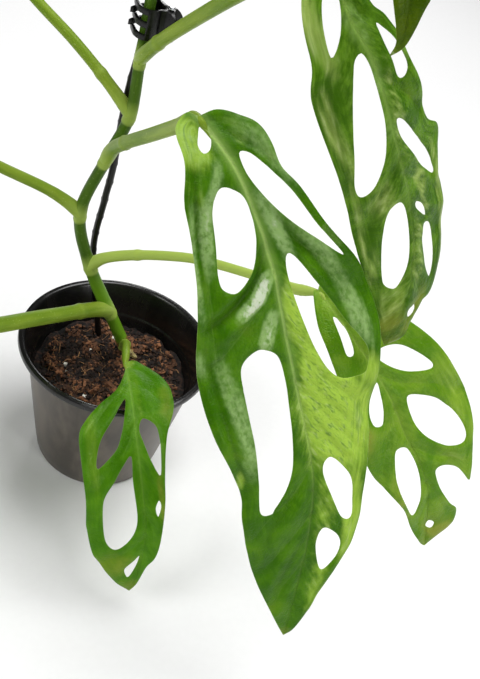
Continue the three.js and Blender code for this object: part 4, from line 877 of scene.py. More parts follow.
def shoot_skin(name, base, light, fleck, node_colour, roughness):
    """The green skin of a shoot, waxy and firm: lengthwise streaks, pale lenticel flecks, a fresher
    green where it is young and a paler collar where a leaf's base clasps it."""
    material, tree, shader = blank(name, {
        **CUTICLE, "Roughness": roughness, "Specular IOR Level": 0.32,
        "Subsurface Radius": (0.8, 1.0, 0.3),
    })
    skin = add(tree, "Attribute", out="Vector", attribute_name="skin")
    collar, fresh, scar = [add(tree, "Attribute", out="Fac", attribute_name=name)
                           for name in ("collar", "fresh", "scar")]
    streaks = grain(tree, skin, 1.1, 3, stretch=(1, 1, 14))  # lengthwise, 1.1 mm wide
    clouds = grain(tree, skin, 7, 2, stretch=(1, 1, 5))
    lenticels = grain(tree, skin, 0.55, 1, stretch=(1, 1, 2.2))  # half a millimetre wide
    colour = painted(tree, base, [
        (light, weighed(tree, clouds, (streaks, 0.5)), 0.45, 1.05, 1.0),
        (fleck, lenticels, 0.66, 0.74, 0.5),
        ("#628c1c", fresh),
        (node_colour, collar),
        ("#6f4f2c", weighed(tree, scar, (clouds, 0.8)), 0.75, 1.15, 1.0),
    ])
    dress(tree, shader, colour, streaks, 0.00008)
    return material


def grained(name):
    """A finish that follows one grain, as it is listed."""
    size, detail, low, high, dark, light, depth, constants, *gloss = GRAINED[name]
    material, tree, shader = blank(name, constants)
    marks = grain(tree, add(tree, "TexCoord", out="Object"), size, detail)
    colour = painted(tree, dark, [(light, marks, low, high, 1.0)])
    dress(tree, shader, colour, marks, depth, (marks, low, high, *gloss[0]) if gloss else None)
    return material


def pot_plastic(name, colour, bloom_colour, roughness):
    """Recycled polypropylene, injection moulded: near black with a grey bloom, faint flow marks."""
    material, tree, shader = blank(name, {"IOR": 1.49})
    place = add(tree, "TexCoord", out="Object")
    bloom = grain(tree, place, 0.016, 4, stretch=(1, 1, 2.5), twist=0.4)
    scuffs = grain(tree, place, 0.003, 3, stretch=(1, 1, 3))  # 3 mm wide
    dust = weighed(tree, bloom, (scuffs, 0.35))
    dress(tree, shader, painted(tree, colour, [(bloom_colour, dust, 0.5, 0.95, 1.0)]),
          grain(tree, place, 0.0009, 2), 0.00002,  # the mould's own grain, 0.9 mm
          (dust, 0.5, 0.9, roughness - 0.05, roughness + 0.12))
    return material


def bark(name, dark, light):
    """Composted pine bark: split along the grain, dark where it is wet and tan on fresh breaks; its tone
    mark also holds painted shade, darker in the gaps between clumps.
    """
    material, tree, shader = blank(name, {"Roughness": 0.85})
    tone = add(tree, "Attribute", out="Fac", attribute_name="tone")
    crumbs = grain(tree, add(tree, "TexCoord", out="Object"), 0.0011, 4)
    colour = painted(tree, dark, [(light, weighed(tree, tone, (crumbs, 0.8)), 0.35, 1.35, 1.0)])
    dress(tree, shader, colour, crumbs, 0.0003)
    return material


def floor_paper(colour):
    """Seamless background paper: pale and dull, with a faint tooth."""
    material, tree, shader = blank("background paper", {"Roughness": 0.95})
    tooth = grain(tree, add(tree, "TexCoord", out="Object"), 0.004, 2)
    shade = tuple(c * 0.985 for c in colour[:3]) + (1,)
    dress(tree, shader, painted(tree, shade, [(tuple(colour), tooth, 0.2, 0.8, 1.0)]))
    return material


# ---------------------------------------------------------------- pot
def wall_radius(z):
    """Radius of the pot's outside under its lip."""
    return POT["base"] + (POT["neck"] - POT["base"]) * z / (POT["height"] - POT["lip_drop"])


def inner_radius(z):
    """Radius of the pot's inside, a little wider above the step."""
    return wall_radius(z) - POT["wall"] - (0 if z > POT["step_height"] else POT["step_depth"])


def pot_profile():
    """The pot's wall from the middle of its underside round the lip to the middle of its floor."""
    height, rim, step = POT["height"], POT["rim"], POT["step_height"]
    skirt, lip_inner = height - POT["lip_drop"], rim - POT["lip_width"]
    foot = POT["base"]
    return [
        (0, 0.9), (foot - 8, 0.9), (foot - 7, 0), (foot - 1.5, 0), (foot - 0.5, 0.4), (foot, 1.5),
        *[(wall_radius(z), z) for z in (10, 20, 32, 44, 56, 66, 73)],
        (POT["neck"] - 0.1, skirt - 0.8), (POT["neck"] + 0.5, skirt - 0.05), (rim - 1.2, skirt),
        (rim - 0.3, skirt + 0.25), (rim, skirt + 0.9), (rim, height - 1.3), (rim - 0.35, height - 0.5),
        (rim - 1.1, height - 0.1), (rim - 2, height), (lip_inner + 1.3, height - 0.1),
        (lip_inner + 0.5, height - 0.6), (lip_inner - 0.1, height - 1.8),
        (inner_radius(step + 6), step + 6), (inner_radius(step + 0.9), step + 0.9),
        (inner_radius(step + 0.5) - 0.1, step + 0.4), (inner_radius(step - 0.4) + 0.1, step - 0.3),
        (inner_radius(step - 0.8), step - 0.8), (inner_radius(40), 40), (inner_radius(20), 20),
        (inner_radius(4), 4), (inner_radius(2.4), 2.2), (inner_radius(1.8) - 1, POT["floor"]),
        (0, POT["floor"]),
    ]


class ADANSONII_OT_pot(bpy.types.Operator):
    """Add the nursery pot"""

    bl_idname = "adansonii.pot"
    bl_label = "Pot"
    bl_options = {"REGISTER", "UNDO"}

    def execute(self, context):
        profile = pot_profile()
        mesh = bpy.data.meshes.new("nursery_pot")
        mesh.from_pydata([(r * MM, 0, z * MM) for r, z in profile],
                         [(i, i + 1) for i in range(len(profile) - 1)], [])
        pot = bpy.data.objects.new("nursery_pot", mesh)
        context.scene.collection.objects.link(pot)
        only(pot)
        bpy.ops.object.mode_set(mode="EDIT")
        bpy.ops.mesh.select_all(action="SELECT")
        bpy.ops.mesh.spin(steps=POT["sectors"], angle=TURN, center=(0, 0, 0), axis=(0, 0, 1))
        bpy.ops.mesh.select_all(action="SELECT")
        bpy.ops.mesh.remove_doubles(threshold=MERGE)
        bpy.ops.mesh.normals_make_consistent(inside=False)
        bpy.ops.object.mode_set(mode="OBJECT")
        drains = []
        for k in range(POT["drains"]):
            where = (*on_circle(POT["drain_circle"] * MM, TURN * k / POT["drains"]), 0)
            bpy.ops.mesh.primitive_cylinder_add(
                vertices=32, radius=POT["drain_radius"] * MM, depth=12 * MM, location=where)
            drains.append(context.object)
        only(drains[0])
        for drain in drains:
            drain.select_set(True)
        bpy.ops.object.join()
        punch = context.object
        only(pot)
        cut = pot.modifiers.new("drain holes", "BOOLEAN")
        cut.object = punch
        cut.solver = "EXACT"
        bpy.ops.object.modifier_apply(modifier=cut.name)
        bpy.data.objects.remove(punch)
        bpy.ops.object.shade_smooth_by_angle(angle=math.radians(38))
        settings = context.scene.adansonii.pot
        # Two finishes of the one plastic: a paler one, partly dust and partly a painted reflection of
        # the floor, and a near-black one, partly painted shade.
        for state, colour, bloom, roughness in (
            ("dusty", settings.colour, "#6b6259", settings.roughness),
            ("clean", settings.lip_colour, "#191716", 0.22),
        ):
            finish = pot_plastic(f"moulded polypropylene, {state}", tuple(colour), bloom, roughness)
            pot.data.materials.append(finish)
        skirt = (POT["height"] - POT["lip_drop"] - 0.2) * MM
        for face in pot.data.polygons:  # the paler finish, dust and a painted reflection of the floor, goes on the outside under the lip and on the underside; the near-black one, partly painted shade, on the rest
            outward = face.normal.x * face.center.x + face.normal.y * face.center.y
            outside = outward > 0.2 * face.center.xy.length or face.normal.z < -0.9
            face.material_index = 0 if outside and face.center.z < skirt else 1
        stand_for(pot, "pot")
        return {"FINISHED"}


# ---------------------------------------------------------------- potting mix
PEAT, BARK, COIR, PERLITE = range(4)  # the mix's materials, in their order on its mesh


def clumped(x, y):
    """How far a place is a clump rather than a gap between clumps, 0 to 1."""
    cloud = noise.fractal(Vector((x / CLUMP, y / CLUMP, 3.1)), 0.9, 2.1, 3)
    return max(0.0, min(1.0, 0.5 + 1.5 * cloud))


def soil_height(x, y, relief):
    """Height of the mix's top at a place, mm."""
    return SOIL_TOP + relief * (2 * clumped(x, y) - 1)


def chip_shape(seed, context):
    """One splinter of bark: a block, cut up and knocked out of shape. Returns its points and faces."""
    bpy.ops.object.select_all(action="DESELECT")
    bpy.ops.mesh.primitive_cube_add(size=1)
    chip = context.object
    bpy.ops.object.mode_set(mode="EDIT")
    bpy.ops.mesh.subdivide(number_cuts=1)
    bpy.ops.transform.vertex_random(offset=0.16, uniform=0.5, seed=seed)
    bpy.ops.mesh.quads_convert_to_tris()
    bpy.ops.object.mode_set(mode="OBJECT")
    points = np.array([v.co for v in chip.data.vertices])
    faces = [tuple(p.vertices) for p in chip.data.polygons]
    bpy.data.objects.remove(chip)
    return points, faces


def scattered(dice, reach):
    """A place anywhere on the mix's top within a reach, mm."""
    return on_circle(reach * math.sqrt(dice.random()), dice.uniform(0, TURN))


def tumbled(dice):
    """Any turn about the upright, and two tilts, mostly under 30 degrees."""
    turn = Matrix.Rotation(dice.uniform(0, TURN), 3, "Z")
    for axis in "YX":
        turn = turn @ Matrix.Rotation(dice.gauss(0, 0.5), 3, axis)
    return np.array(turn)


def fibre_path(dice, reach, relief):
    """The path of a loose fibre over the mix's top, or None where it would run against the wall."""
    x, y = scattered(dice, reach - 2)
    way, path = dice.uniform(0, TURN), []
    for _ in range(FIBRE["joints"]):
        path.append((x, y, soil_height(x, y, relief) + dice.uniform(0.4, 1.5)))
        way += dice.gauss(0, 0.5)
        stride = on_circle(FIBRE["stride"], way)
        x, y = x + stride[0], y + stride[1]
    return path if math.hypot(x, y) < reach + 2 else None


def bed(heap, relief):
    """The body of the mix: an uneven top that sinks at the wall, its side and its underside."""
    rings, sectors = 56, 150
    edge, foot = inner_radius(SOIL_TOP) - 0.35, inner_radius(POT["floor"]) - 1.6
    points = [(0, 0, soil_height(0, 0, relief))]
    for ring in range(1, rings + 1):
        r = edge * ring / rings
        for k in range(sectors):
            x, y = on_circle(r, TURN * k / sectors)
            points.append((x, y, soil_height(x, y, relief) - 1.2 * bump(edge - r, 1.5)))
    points += [(*on_circle(foot, TURN * k / sectors), POT["floor"] + 0.3) for k in range(sectors)]
    faces = [(0, 1 + k, 1 + (k + 1) % sectors) for k in range(sectors)]
    for start in range(1, 1 + rings * sectors, sectors):
        for k in range(sectors):
            n = (k + 1) % sectors
            faces.append((start + k, start + sectors + k, start + sectors + n, start + n))
    low = 1 + rings * sectors
    faces.append(tuple(low + k for k in reversed(range(sectors))))
    heap.put(np.array(points), faces, PEAT, tone=0)


class ADANSONII_OT_potting_mix(bpy.types.Operator):
    """Add the bark and coir mix in the pot"""

    bl_idname = "adansonii.potting_mix"
    bl_label = "Potting mix"
    bl_options = {"REGISTER", "UNDO"}

    def execute(self, context):
        settings = context.scene.adansonii.mix
        relief = settings.relief / MM
        dice = random.Random(11)
        heap = Heap()
        bed(heap, relief)
        shapes = [chip_shape(seed, context) for seed in range(6)]
        reach = inner_radius(SOIL_TOP) - 4
        # How many, how long in mm, how slim, and of which material.
        for count, length, slimness, kind in (
            (settings.crumbs, (0.9, 2.3), (0.6, 0.95), BARK),
            (settings.chips, (2.4, 6.5), (0.18, 0.5), BARK),
            (settings.specks, (0.8, 1.7), (0.5, 0.9), COIR),
        ):
            for i in range(count):
                points, faces = shapes[i % len(shapes)]
                long = dice.uniform(*length) * (0.7 if i % 3 else 1)
                size = (long, long * dice.uniform(*slimness), long * dice.uniform(*slimness))
                x, y = scattered(dice, reach)
                turn = tumbled(dice)
                z = soil_height(x, y, relief) + dice.uniform(-0.3, 0.7)
                # Each chip's tone is its own, at random, times painted shade: chips in the gaps between
                # clumps come out darker.
                tone = dice.betavariate(1.3, 2.4) * (0.05 + 1.3 * clumped(x, y))
                heap.put((points * size) @ turn.T + (x, y, z), faces, kind, tone=tone)
        for _ in range(settings.fibres):
            path = fibre_path(dice, reach, relief)
            if path:
                line = Line(path)
                stations = np.linspace(0, line.length, 7)
                points, faces, _ = shoot(line, stations, lambda s: FIBRE["radius"], sides=4)
                heap.put(points, faces, COIR, tone=dice.random())
        for i in range(settings.grains):
            points, faces = shapes[i % len(shapes)]
            x, y = scattered(dice, reach)
            size = dice.uniform(0.9, 2.1)
            z = soil_height(x, y, relief) + 0.5
            heap.put(points * size + (x, y, z), faces, PERLITE, tone=0)
        mix = heap.build("bark_and_coir_mix", [
            grained("peat and coir dust"), bark("composted pine bark", "#120b07", "#91603f"),
            bark("coir fibre", "#4a2f1c", "#bd8d60"), grained("expanded perlite"),
        ])
        only(mix)
        bpy.ops.object.shade_smooth_by_angle(angle=math.radians(32))
        stand_for(mix, "potting_mix")
        return {"FINISHED"}


# ---------------------------------------------------------------- stem
# Where a leaf's base clasps the stem, in mm from its node: the ring's place and width below, how far up
# the clasp reaches and over what length it dies away, and how far it stands out.
CLASP = {"below": 4.5, "ring": 1.1, "above": 9, "fade": 7, "rise": 0.35}
# The thicker stretch above node two, in mm: how far above, how far either way, how far it swells.
THICK = {"above": 14, "reach": 14, "rise": 0.3}
TIP = {"share": 0.03, "thinner": 0.45}  # the stem's tip: its share of the length, and how far it thins
GREEN, CORK = range(2)  # the stem's materials, in their order on its mesh
STEM = Line(STEM_PATH)
NODE_MARKS = {name: STEM.nearest(point) for name, point in NODES.items() if name != "soil"}


def clasped(s):
    """How far a leaf's base clasps the stem at s, 0 to 1: a crisp ring below, dying away above."""
    marks = np.array(list(NODE_MARKS.values()))
    s = np.asarray(s, float)[..., None] - marks
    ring = np.clip((s + CLASP["below"]) / CLASP["ring"], 0, 1)
    return np.max(ring * np.clip((CLASP["above"] - s) / CLASP["fade"], 0, 1), axis=-1)


def stem_radius(s):
    """Radius of the stem: thicker where a leaf's base clasps it and above node two, thin at its tip."""
    share = s / STEM.length
    thick = THICK["rise"] * float(bump(s - NODE_MARKS["two"] - THICK["above"], THICK["reach"]))
    tip = 1 - TIP["thinner"] * max(0.0, (share - 1 + TIP["share"]) / TIP["share"])
    plain = STEM_RADII[0] + (STEM_RADII[1] - STEM_RADII[0]) * share**0.75
    return (plain + thick + CLASP["rise"] * float(clasped(s))) * tip


def ribbed(angle, s):
    """The shallow ribs and dents of a stem."""
    return 1 + 0.018 * np.sin(3 * angle + 0.05 * s) + 0.012 * np.sin(5 * angle - 0.09 * s + 1)


class ADANSONII_OT_stem(bpy.types.Operator):
    """Add the climbing stem with its aerial root stubs"""

    bl_idname = "adansonii.stem"
    bl_label = "Stem"
    bl_options = {"REGISTER", "UNDO"}

    def execute(self, context):
        heap = Heap()
        stations = np.arange(0, STEM.length, 0.9)
        points, faces, skin = shoot(STEM, stations, stem_radius, sides=28, profile=ribbed)
        along = skin[:, 2]
        scar = bump(along - NODE_MARKS["one"] - 1, 7.5)  # old leaf scars round node one
        collar = 0.75 * clasped(along) * (1 - scar)
        fresh = np.clip((NODE_MARKS["three"] + 6 - along) / 25, 0, 1)  # fresher green below node three
        heap.put(points, faces, GREEN, skin=skin, collar=collar, scar=scar, fresh=fresh)
        for node, way, length in ROOT_STUBS:
            start = np.array(NODES[node], float) - (0, 0, 3)
            way = unit(np.array(way, float))
            tip = start + way * (3.5 + length) + (0, 0, -0.9)
            line = Line([start, start + way * (2 + length / 2), tip])

            def radius(s):
                worn = 0.7 * bump(s - line.length, 0.7)
                return 1.9 - 0.7 * s / line.length + 0.14 * math.sin(2.4 * s) - worn

            stub, stub_faces, skin = shoot(line, np.linspace(0, line.length, 12), radius, sides=14)
            heap.put(stub, stub_faces, CORK, skin=skin, collar=0, scar=0, fresh=0)
        green = shoot_skin("stem epidermis", "#33500a", "#4a6d14", "#7d9450", "#a3b955", 0.45)
        stem = heap.build("climbing_stem", [green, grained("aerial root cork")])
        stand_for(stem, "stem")
        return {"FINISHED"}


# ---------------------------------------------------------------- leaves
WAVE = {"height": 1.5, "length": 9.0, "at": 30.0, "lag": 2.0}  # the rise and fall of a leaf's edge, mm
MIDRIB_ROWS = (0, 0.7, -0.7, 1.6, -1.6)  # rows of points along the midrib, mm
VEIN_ROW = 0.55  # how far the rows at both sides of a side vein lie from it, mm
ROUNDING = 0.12  # how far a blade's edge stands out between its two sides, mm
FINE = (5, 7)  # the two large leaves in front, which get the finer mesh
FINE_STEP, STEP = 1.25, 1.6  # how far apart the points of both meshes lie, mm
EVENED = 17  # the length over which the waves of an edge are evened out, mm
# The relief of a blade, in mm: a width is how far a feature reaches sideways, a groove, ridge or depth
# how far out of plane. A fade is the share that is lost on the way to the edge or the tip.
RIB = {"width": 1.0, "least": 0.5, "fade": 0.6, "groove": 0.38, "ridge": 0.75}
VEIN = {"width": 0.95, "fade": 0.55, "ridge": 0.3, "between": 5.5}
VALLEY = {"width": 2.2, "fade": 0.6, "depth": 0.35}
SHOULDER = 0.4  # how high a fold's sides swell, as a share of its depth
ROLL = {"width": 1.8, "depth": 0.4, "inward": 3.6, "seam_width": 0.9, "seam": 0.22}
EDGE = {"width": 1.1, "share": 0.45}  # over what width a blade thins to its edge, and what is left


class Blade:
    """The surface of one leaf in space, by s along its midrib and t across."""

    def __init__(self, leaf):
        self.leaf = leaf
        self.line = Line(leaf["spine"])
        self.length = self.line.length
        self.pattern = PATTERNS[leaf["pattern"]]
        self.along = self.length / self.pattern["left"][-1][0]
        self.across = leaf.get("width", 1) * (-1 if leaf.get("mirrored") else 1)

    def fit(self, points):
        """Points of the pattern, at this leaf's size."""
        return np.asarray(points, float) * (self.along, self.across)

    def frame(self, s):
        """The midrib's point, its direction, and where the show side faces, at s."""
        faces = np.array(self.leaf["faces"], float)
        q = np.clip(s / self.length, 0, 1) * (len(faces) - 1)
        i = np.minimum(q.astype(int), len(faces) - 2)
        up = faces[i] + (faces[i + 1] - faces[i]) * (q - i)[:, None]
        way = self.line.direction(s)
        up = unit(up - way * np.sum(up * way, axis=1, keepdims=True))
        return self.line.at(s), way, up

    def middle(self, s, t):
        """The middle of the blade's thickness."""
        middle, way, up = self.frame(s)
        lag = np.where(t > 0, WAVE["lag"], 0)
        wave = WAVE["height"] * np.sin(s / WAVE["length"] + lag) * (t / WAVE["at"]) ** 2
        reach = np.sqrt(t * t + 1.0) - 1.0  # the fold at the midrib, rounded by a millimetre
        rise = self.leaf["lift"] * reach - self.leaf["droop"] * t * t + wave
        return middle + np.cross(up, way) * t[:, None] + up * rise[:, None]

    def normal(self, s, t):
        """Where the show side faces at a place."""
        e = 0.5
        alongs = self.middle(s + e, t) - self.middle(s - e, t)
        across = self.middle(s, t + e) - self.middle(s, t - e)
        return unit(np.cross(alongs, across))


def inside(points, rings):
    """Which points lie in the outer ring and in none of the holes."""
    odd = np.zeros(len(points), bool)
    x, y = points[:, 0], points[:, 1]
    for ring in rings:
        for a, b in zip(ring, np.roll(ring, -1, axis=0)):
            crosses = (a[1] > y) != (b[1] > y)
            if crosses.any():
                odd ^= crosses & (x < (b[0] - a[0]) * (y - a[1]) / (b[1] - a[1] + 1e-12) + a[0])
    return odd


def tree_of(points):
    """A search tree of flat points."""
    tree = kdtree.KDTree(len(points))
    for i, p in enumerate(points):
        tree.insert((p[0], p[1], 0), i)
    tree.balance()
    return tree


def distances(tree, points):
    """How far each flat point is from the nearest one of a tree, and which that is."""
    found = [tree.find((p[0], p[1], 0)) for p in points]
    return np.array([f[2] for f in found]), np.array([f[1] for f in found])


def fill(rings, rows, step):
    """Triangles between the rings. The rows' points are kept, and the rest is filled a step apart, in
    a pattern of equal triangles."""
    low, high = rings[0].min(0), rings[0].max(0)
    lines = np.arange(low[0], high[0], 0.87 * step)
    rest = np.array([(s, t + (0.5 * step if i % 2 else 0)) for i, s in enumerate(lines)
                     for t in np.arange(low[1], high[1], step)])
    kept = [np.concatenate(rings)]
    for points, room in ((rows, 0.62 * step), (rest, 0.72 * step)):
        points = points[inside(points, rings)]
        gap, _ = distances(tree_of(np.concatenate(kept)), points)
        kept.append(points[gap > room])
    flat = np.concatenate(kept)
    edges, start = [], 0
    for ring in rings:
        edges += [(start + i, start + (i + 1) % len(ring)) for i in range(len(ring))]
        start += len(ring)
    out = geometry.delaunay_2d_cdt([Vector(p) for p in flat], edges, [], 1, 1e-5)
    points, faces = np.array([tuple(v) for v in out[0]]), np.array(out[2])
    faces = faces[inside(points[faces].mean(axis=1), rings)]
    a, b, c = (points[faces[:, k]] for k in range(3))
    area = (b[:, 0] - a[:, 0]) * (c[:, 1] - a[:, 1]) - (b[:, 1] - a[:, 1]) * (c[:, 0] - a[:, 0])
    faces = np.where((area < 0)[:, None], faces[:, [0, 2, 1]], faces)
    return points, faces[np.abs(area) > 1e-6]


def vein_rows(blade):
    """The side veins as points: place, and how far out each lies from the midrib, 0 to 1."""
    places, shares = [], []
    for vein in blade.pattern["veins"]:
        points = walk(blade.fit(vein), step=0.9)
        places.append(points)
        shares.append(np.linspace(0, 1, len(points)))
    return np.concatenate(places), np.concatenate(shares)


def patches(spots, blade, s, t):
    """How far each point lies in any of the soft-edged spots."""
    zones = np.zeros(len(s))
    for spot_s, spot_t, half_s, half_t, strength in spots:
        away = ((s / blade.along - spot_s) / half_s) ** 2 + ((t / blade.across - spot_t) / half_t) ** 2
        zones = np.maximum(zones, strength * np.exp(-(away**1.5)))
    return zones


def beside(line, blade, flat):
    """How far each point is from a line on the blade, and how far from its ends: 0 there, 1 midway."""
    line = walk(blade.fit(line) * (1, np.sign(blade.across)), step=0.7)
    away, nearest = distances(tree_of(line), flat)
    return away, np.sin(math.pi * np.clip((nearest + 1.5) / (len(line) + 2), 0, 1))


def painted_gloss_bands(lines, blade, flat):
    """How far each point lies in any of the soft-edged strips of painted gloss, which fade out at their
    ends.
    """
    zones = np.zeros(len(flat))
    for half_width, strength, line in lines:
        away, within = beside(line, blade, flat)
        zones = np.maximum(zones, strength * within**0.6 * np.exp(-((away / half_width) ** 3)))
    return zones


def half_width_at(outer, s):
    """Half the width of a blade at s, its waves evened out."""
    order = np.argsort(outer[:, 0])
    at = np.arange(0, outer[:, 0].max(), 1.0)
    wide = np.interp(at, outer[order, 0], np.abs(outer[order, 1]))
    wide = np.pad(wide, EVENED // 2, mode="edge")
    even = np.convolve(wide, np.full(EVENED, 1 / EVENED), mode="valid")
    return np.interp(s, at, np.maximum(even, 4.0))


def border_of(flat, faces):
    """The edges that only one triangle has, the points on them, and which way is out there."""
    sides = {}
    for a, b, c in faces:
        sides.update({(a, b): True, (b, c): True, (c, a): True})
    border = [(a, b) for a, b in sides if (b, a) not in sides]
    outward = {a: np.zeros(2) for a in sorted({a for edge in border for a in edge})}
    for a, b in border:
        way = flat[b] - flat[a]
        for end in (a, b):
            outward[end] += (way[1], -way[0])
    ways = np.array([way / (np.linalg.norm(way) + 1e-9) for way in outward.values()])
    return border, list(outward), ways


def blade_mesh(number, settings, step):
    """Points, faces and marks of one open leaf: its show side, its underside and its rounded edge."""
    leaf = LEAVES[number]
    blade = Blade(leaf)
    left = walk(blade.fit(blade.pattern["left"]))
    right = walk(blade.fit(blade.pattern["right"]))
    outer = np.concatenate([left, right[1:-1][::-1]])
    rings = [outer] + [walk(blade.fit(hole), closed=True) for hole in blade.pattern["holes"]]
    veins, shares = vein_rows(blade)
    midrib = np.arange(1.0, blade.length - 1, 1.1)
    rows = [np.stack([midrib, np.full(len(midrib), t)], -1) for t in MIDRIB_ROWS]
    rows += [veins + VEIN_ROW * np.array(side) for side in ((0, 0), (1, 1), (1, -1), (-1, -1), (-1, 1))]
    flat, faces = fill(rings, np.concatenate(rows), step)
    n, faces = len(flat), faces.tolist()
    s, t = flat[:, 0], flat[:, 1]

    to_edge, _ = distances(tree_of(np.concatenate(rings)), flat)
    to_margin, _ = distances(tree_of(outer), flat)
    to_vein, which = distances(tree_of(veins), flat)
    out = shares[which]
    taper = 1 - RIB["fade"] * np.clip(s / blade.length, 0, 1)
    rib = bump(t, RIB["least"] + RIB["width"] * taper)
    lateral = bump(to_vein, VEIN["width"]) * (1 - VEIN["fade"] * out)
    valley = VALLEY["depth"] * bump(to_vein, VALLEY["width"]) * (1 - VALLEY["fade"] * out)
    either = np.minimum(to_vein, np.abs(t))
    quilt = settings.quilt / MM * (1 - bump(either, VEIN["between"])) - valley
    crease_shade = np.zeros(n)
    for depth, width, line in leaf.get("folds", []):  # a furrow with a low swelling at its sides
        away, within = beside(line, blade, flat)
        fade = within**0.5
        swollen = SHOULDER * bump(away - 2 * width, 0.9 * width)
        quilt = quilt - depth * fade * (bump(away, width) - swollen)
        # Painted shade along the fold's furrow, kept with the deep mark.
        crease_shade = np.maximum(crease_shade, min(0.9, 0.45 * depth) * fade * bump(away, 0.5 * width))
    uneven = np.array([noise.fractal(Vector((a / 13, b / 8, number * 7.3)), 1.0, 2.0, 2)
                       for a, b in flat])  # puckers, 13 mm long and 8 mm wide
    uneven = settings.pucker / MM * np.clip(uneven, -1.5, 1.5) * np.clip(np.abs(t) / 8, 0.25, 1)
    seam = ROLL["seam"] * bump(to_margin - ROLL["inward"], ROLL["seam_width"])
    rolled = -ROLL["depth"] * bump(to_edge, ROLL["width"]) - seam
    groove = settings.groove / MM * lateral + RIB["groove"] * rib
    thick = EDGE["share"] + (1 - EDGE["share"]) * (1 - bump(to_edge, EDGE["width"]))
    half = settings.thickness / MM / 2 * thick
    swell = quilt + uneven + rolled
    ridge = RIB["ridge"] * rib * taper + VEIN["ridge"] * lateral

    middle, normal = blade.middle(s, t), blade.normal(s, t)
    top = middle + normal * (swell + half - groove)[:, None]
    under = middle + normal * (swell - half - ridge * np.clip(to_edge / 1.5, 0, 1))[:, None]
    border, rim_points, outward = border_of(flat, faces)
    moved = flat[rim_points] + outward * ROUNDING
    edge = blade.middle(moved[:, 0], moved[:, 1]) + normal[rim_points] * swell[rim_points][:, None]
    points = np.concatenate([top, under, edge])
    place = {a: 2 * n + i for i, a in enumerate(rim_points)}
    shell = [tuple(face) for face in faces] + [(n + a, n + c, n + b) for a, b, c in faces]
    for a, b in border:
        shell += [(b, a, place[a], place[b]), (place[b], place[a], n + a, n + b)]

    pick = np.concatenate([np.arange(n), np.arange(n), np.array(rim_points)])
    shade = np.where(t > 0, 40.0, 0.0) + number * 91.0  # sets the two halves and the leaves apart
    along_vein = np.stack([0.55 * s - 0.9 * np.abs(t), 0.9 * np.abs(t) + 0.9 * s, shade], -1)
    marks = {
        "flat": np.stack([s, t, np.full(n, number * 37.0)], -1)[pick],
        "streak": along_vein[pick],
        "strip": np.stack([to_margin, s, shade], -1)[pick],
        "outer": np.clip((np.abs(t) / half_width_at(outer, s) - 0.45) / 0.3, 0, 1)[pick],
        "to_midrib": (np.abs(t) / (0.35 + 0.75 * taper**2))[pick],
        "ribbed": (0.85 * np.interp(s / blade.length, [0, 0.45, 0.68, 1], [1, 0.6, 0.16, 0.02]))[pick],
        "to_vein": (to_vein / (1.02 - 0.7 * out))[pick],
        "to_edge": np.concatenate([np.tile(np.maximum(to_edge, 0.3), 2), np.zeros(len(rim_points))]),
        "pale": patches(leaf["pale"], blade, s, t)[pick],
        # Painted gloss, from its spots and strips.
        "silver": np.maximum(patches(leaf.get("silver", []), blade, s, t),
                             painted_gloss_bands(leaf.get("painted_gloss_bands", []), blade, flat))[pick],
        # Painted shade, from the folds' furrows and the deep patches.
        "deep": np.maximum(crease_shade, patches(leaf.get("deep", []), blade, s, t))[pick],
        "aged": patches(leaf.get("aged", []), blade, s, t)[pick],
        "under": np.concatenate([np.zeros(n), np.ones(n), np.zeros(len(rim_points))]),
    }
    return points, shell, marks


class ADANSONII_OT_leaves(bpy.types.Operator):
    """Add the nine open leaves"""

    bl_idname = "adansonii.leaves"
    bl_label = "Leaves"
    bl_options = {"REGISTER", "UNDO"}

    def execute(self, context):
        settings = context.scene.adansonii.leaf
        tissues = {name: leaf_tissue(name, settings.roughness) for name in COLOURINGS}
        for number, leaf in LEAVES.items():
            step = FINE_STEP if number in FINE else STEP
            points, faces, marks = blade_mesh(number, settings, step)
            tissue = tissues[leaf["colouring"]]
            blade = make_object(f"leaf_{number}_blade", points, faces, [tissue], marks)
            stand_for(blade, f"leaf_{number}")
        return {"FINISHED"}


# ---------------------------------------------------------------- leaf stalks
# How a stalk thins out under the midrib: s along it, and the share of its radius that is left there.
STALK_FADE = [(1.0, 0.62), (5.5, 0.36), (12.0, 0.28), (20.0, 0.12)]
# How far a stalk stands out from a plain cone at each distance from its foot, both in mm.
FOOT_AT, FOOT_OUT = [0, 5, 8, 11, 15, 26], [-0.6, -0.5, -0.15, 0.2, 0.35, 0]
# Its swellings, in mm: how far they rise and over what width. The joint's are measured from its end.
SHEATH = {"rise": 0.2, "end": 1.2, "knuckle": 0.3, "knuckle_width": 1.8}
JOINT = {"from_end": 30, "rise": 0.4, "width": 9, "ring": 0.14, "ring_width": 0.8}
# The share of its radius that is left at each distance from its end, where it runs under the blade.
END_AT, END_SHARE = [0, 8, 14.5, 19, 25], [0.12, 0.28, 0.36, 0.62, 1.0]


def stalk_line(leaf):
    """A stalk's line: out of the stem along it, up the way points, and on into the blade's midrib."""
    blade = Blade(leaf)
    mark = NODE_MARKS[leaf["node"]]
    under = []
    for s, share in STALK_FADE:
        middle, _, up = blade.frame(np.array([s]))
        radius = share * leaf["radii"][1]
        under.append(middle[0] - up[0] * (0.55 + radius * (1.04 + max(0.0, -leaf["lift"]))))
    inside_stem = [STEM.at(mark - 10), STEM.at(mark - 4.5), STEM.at(mark)]
    return Line([*inside_stem, *map(np.array, leaf["stalk"]), *under])


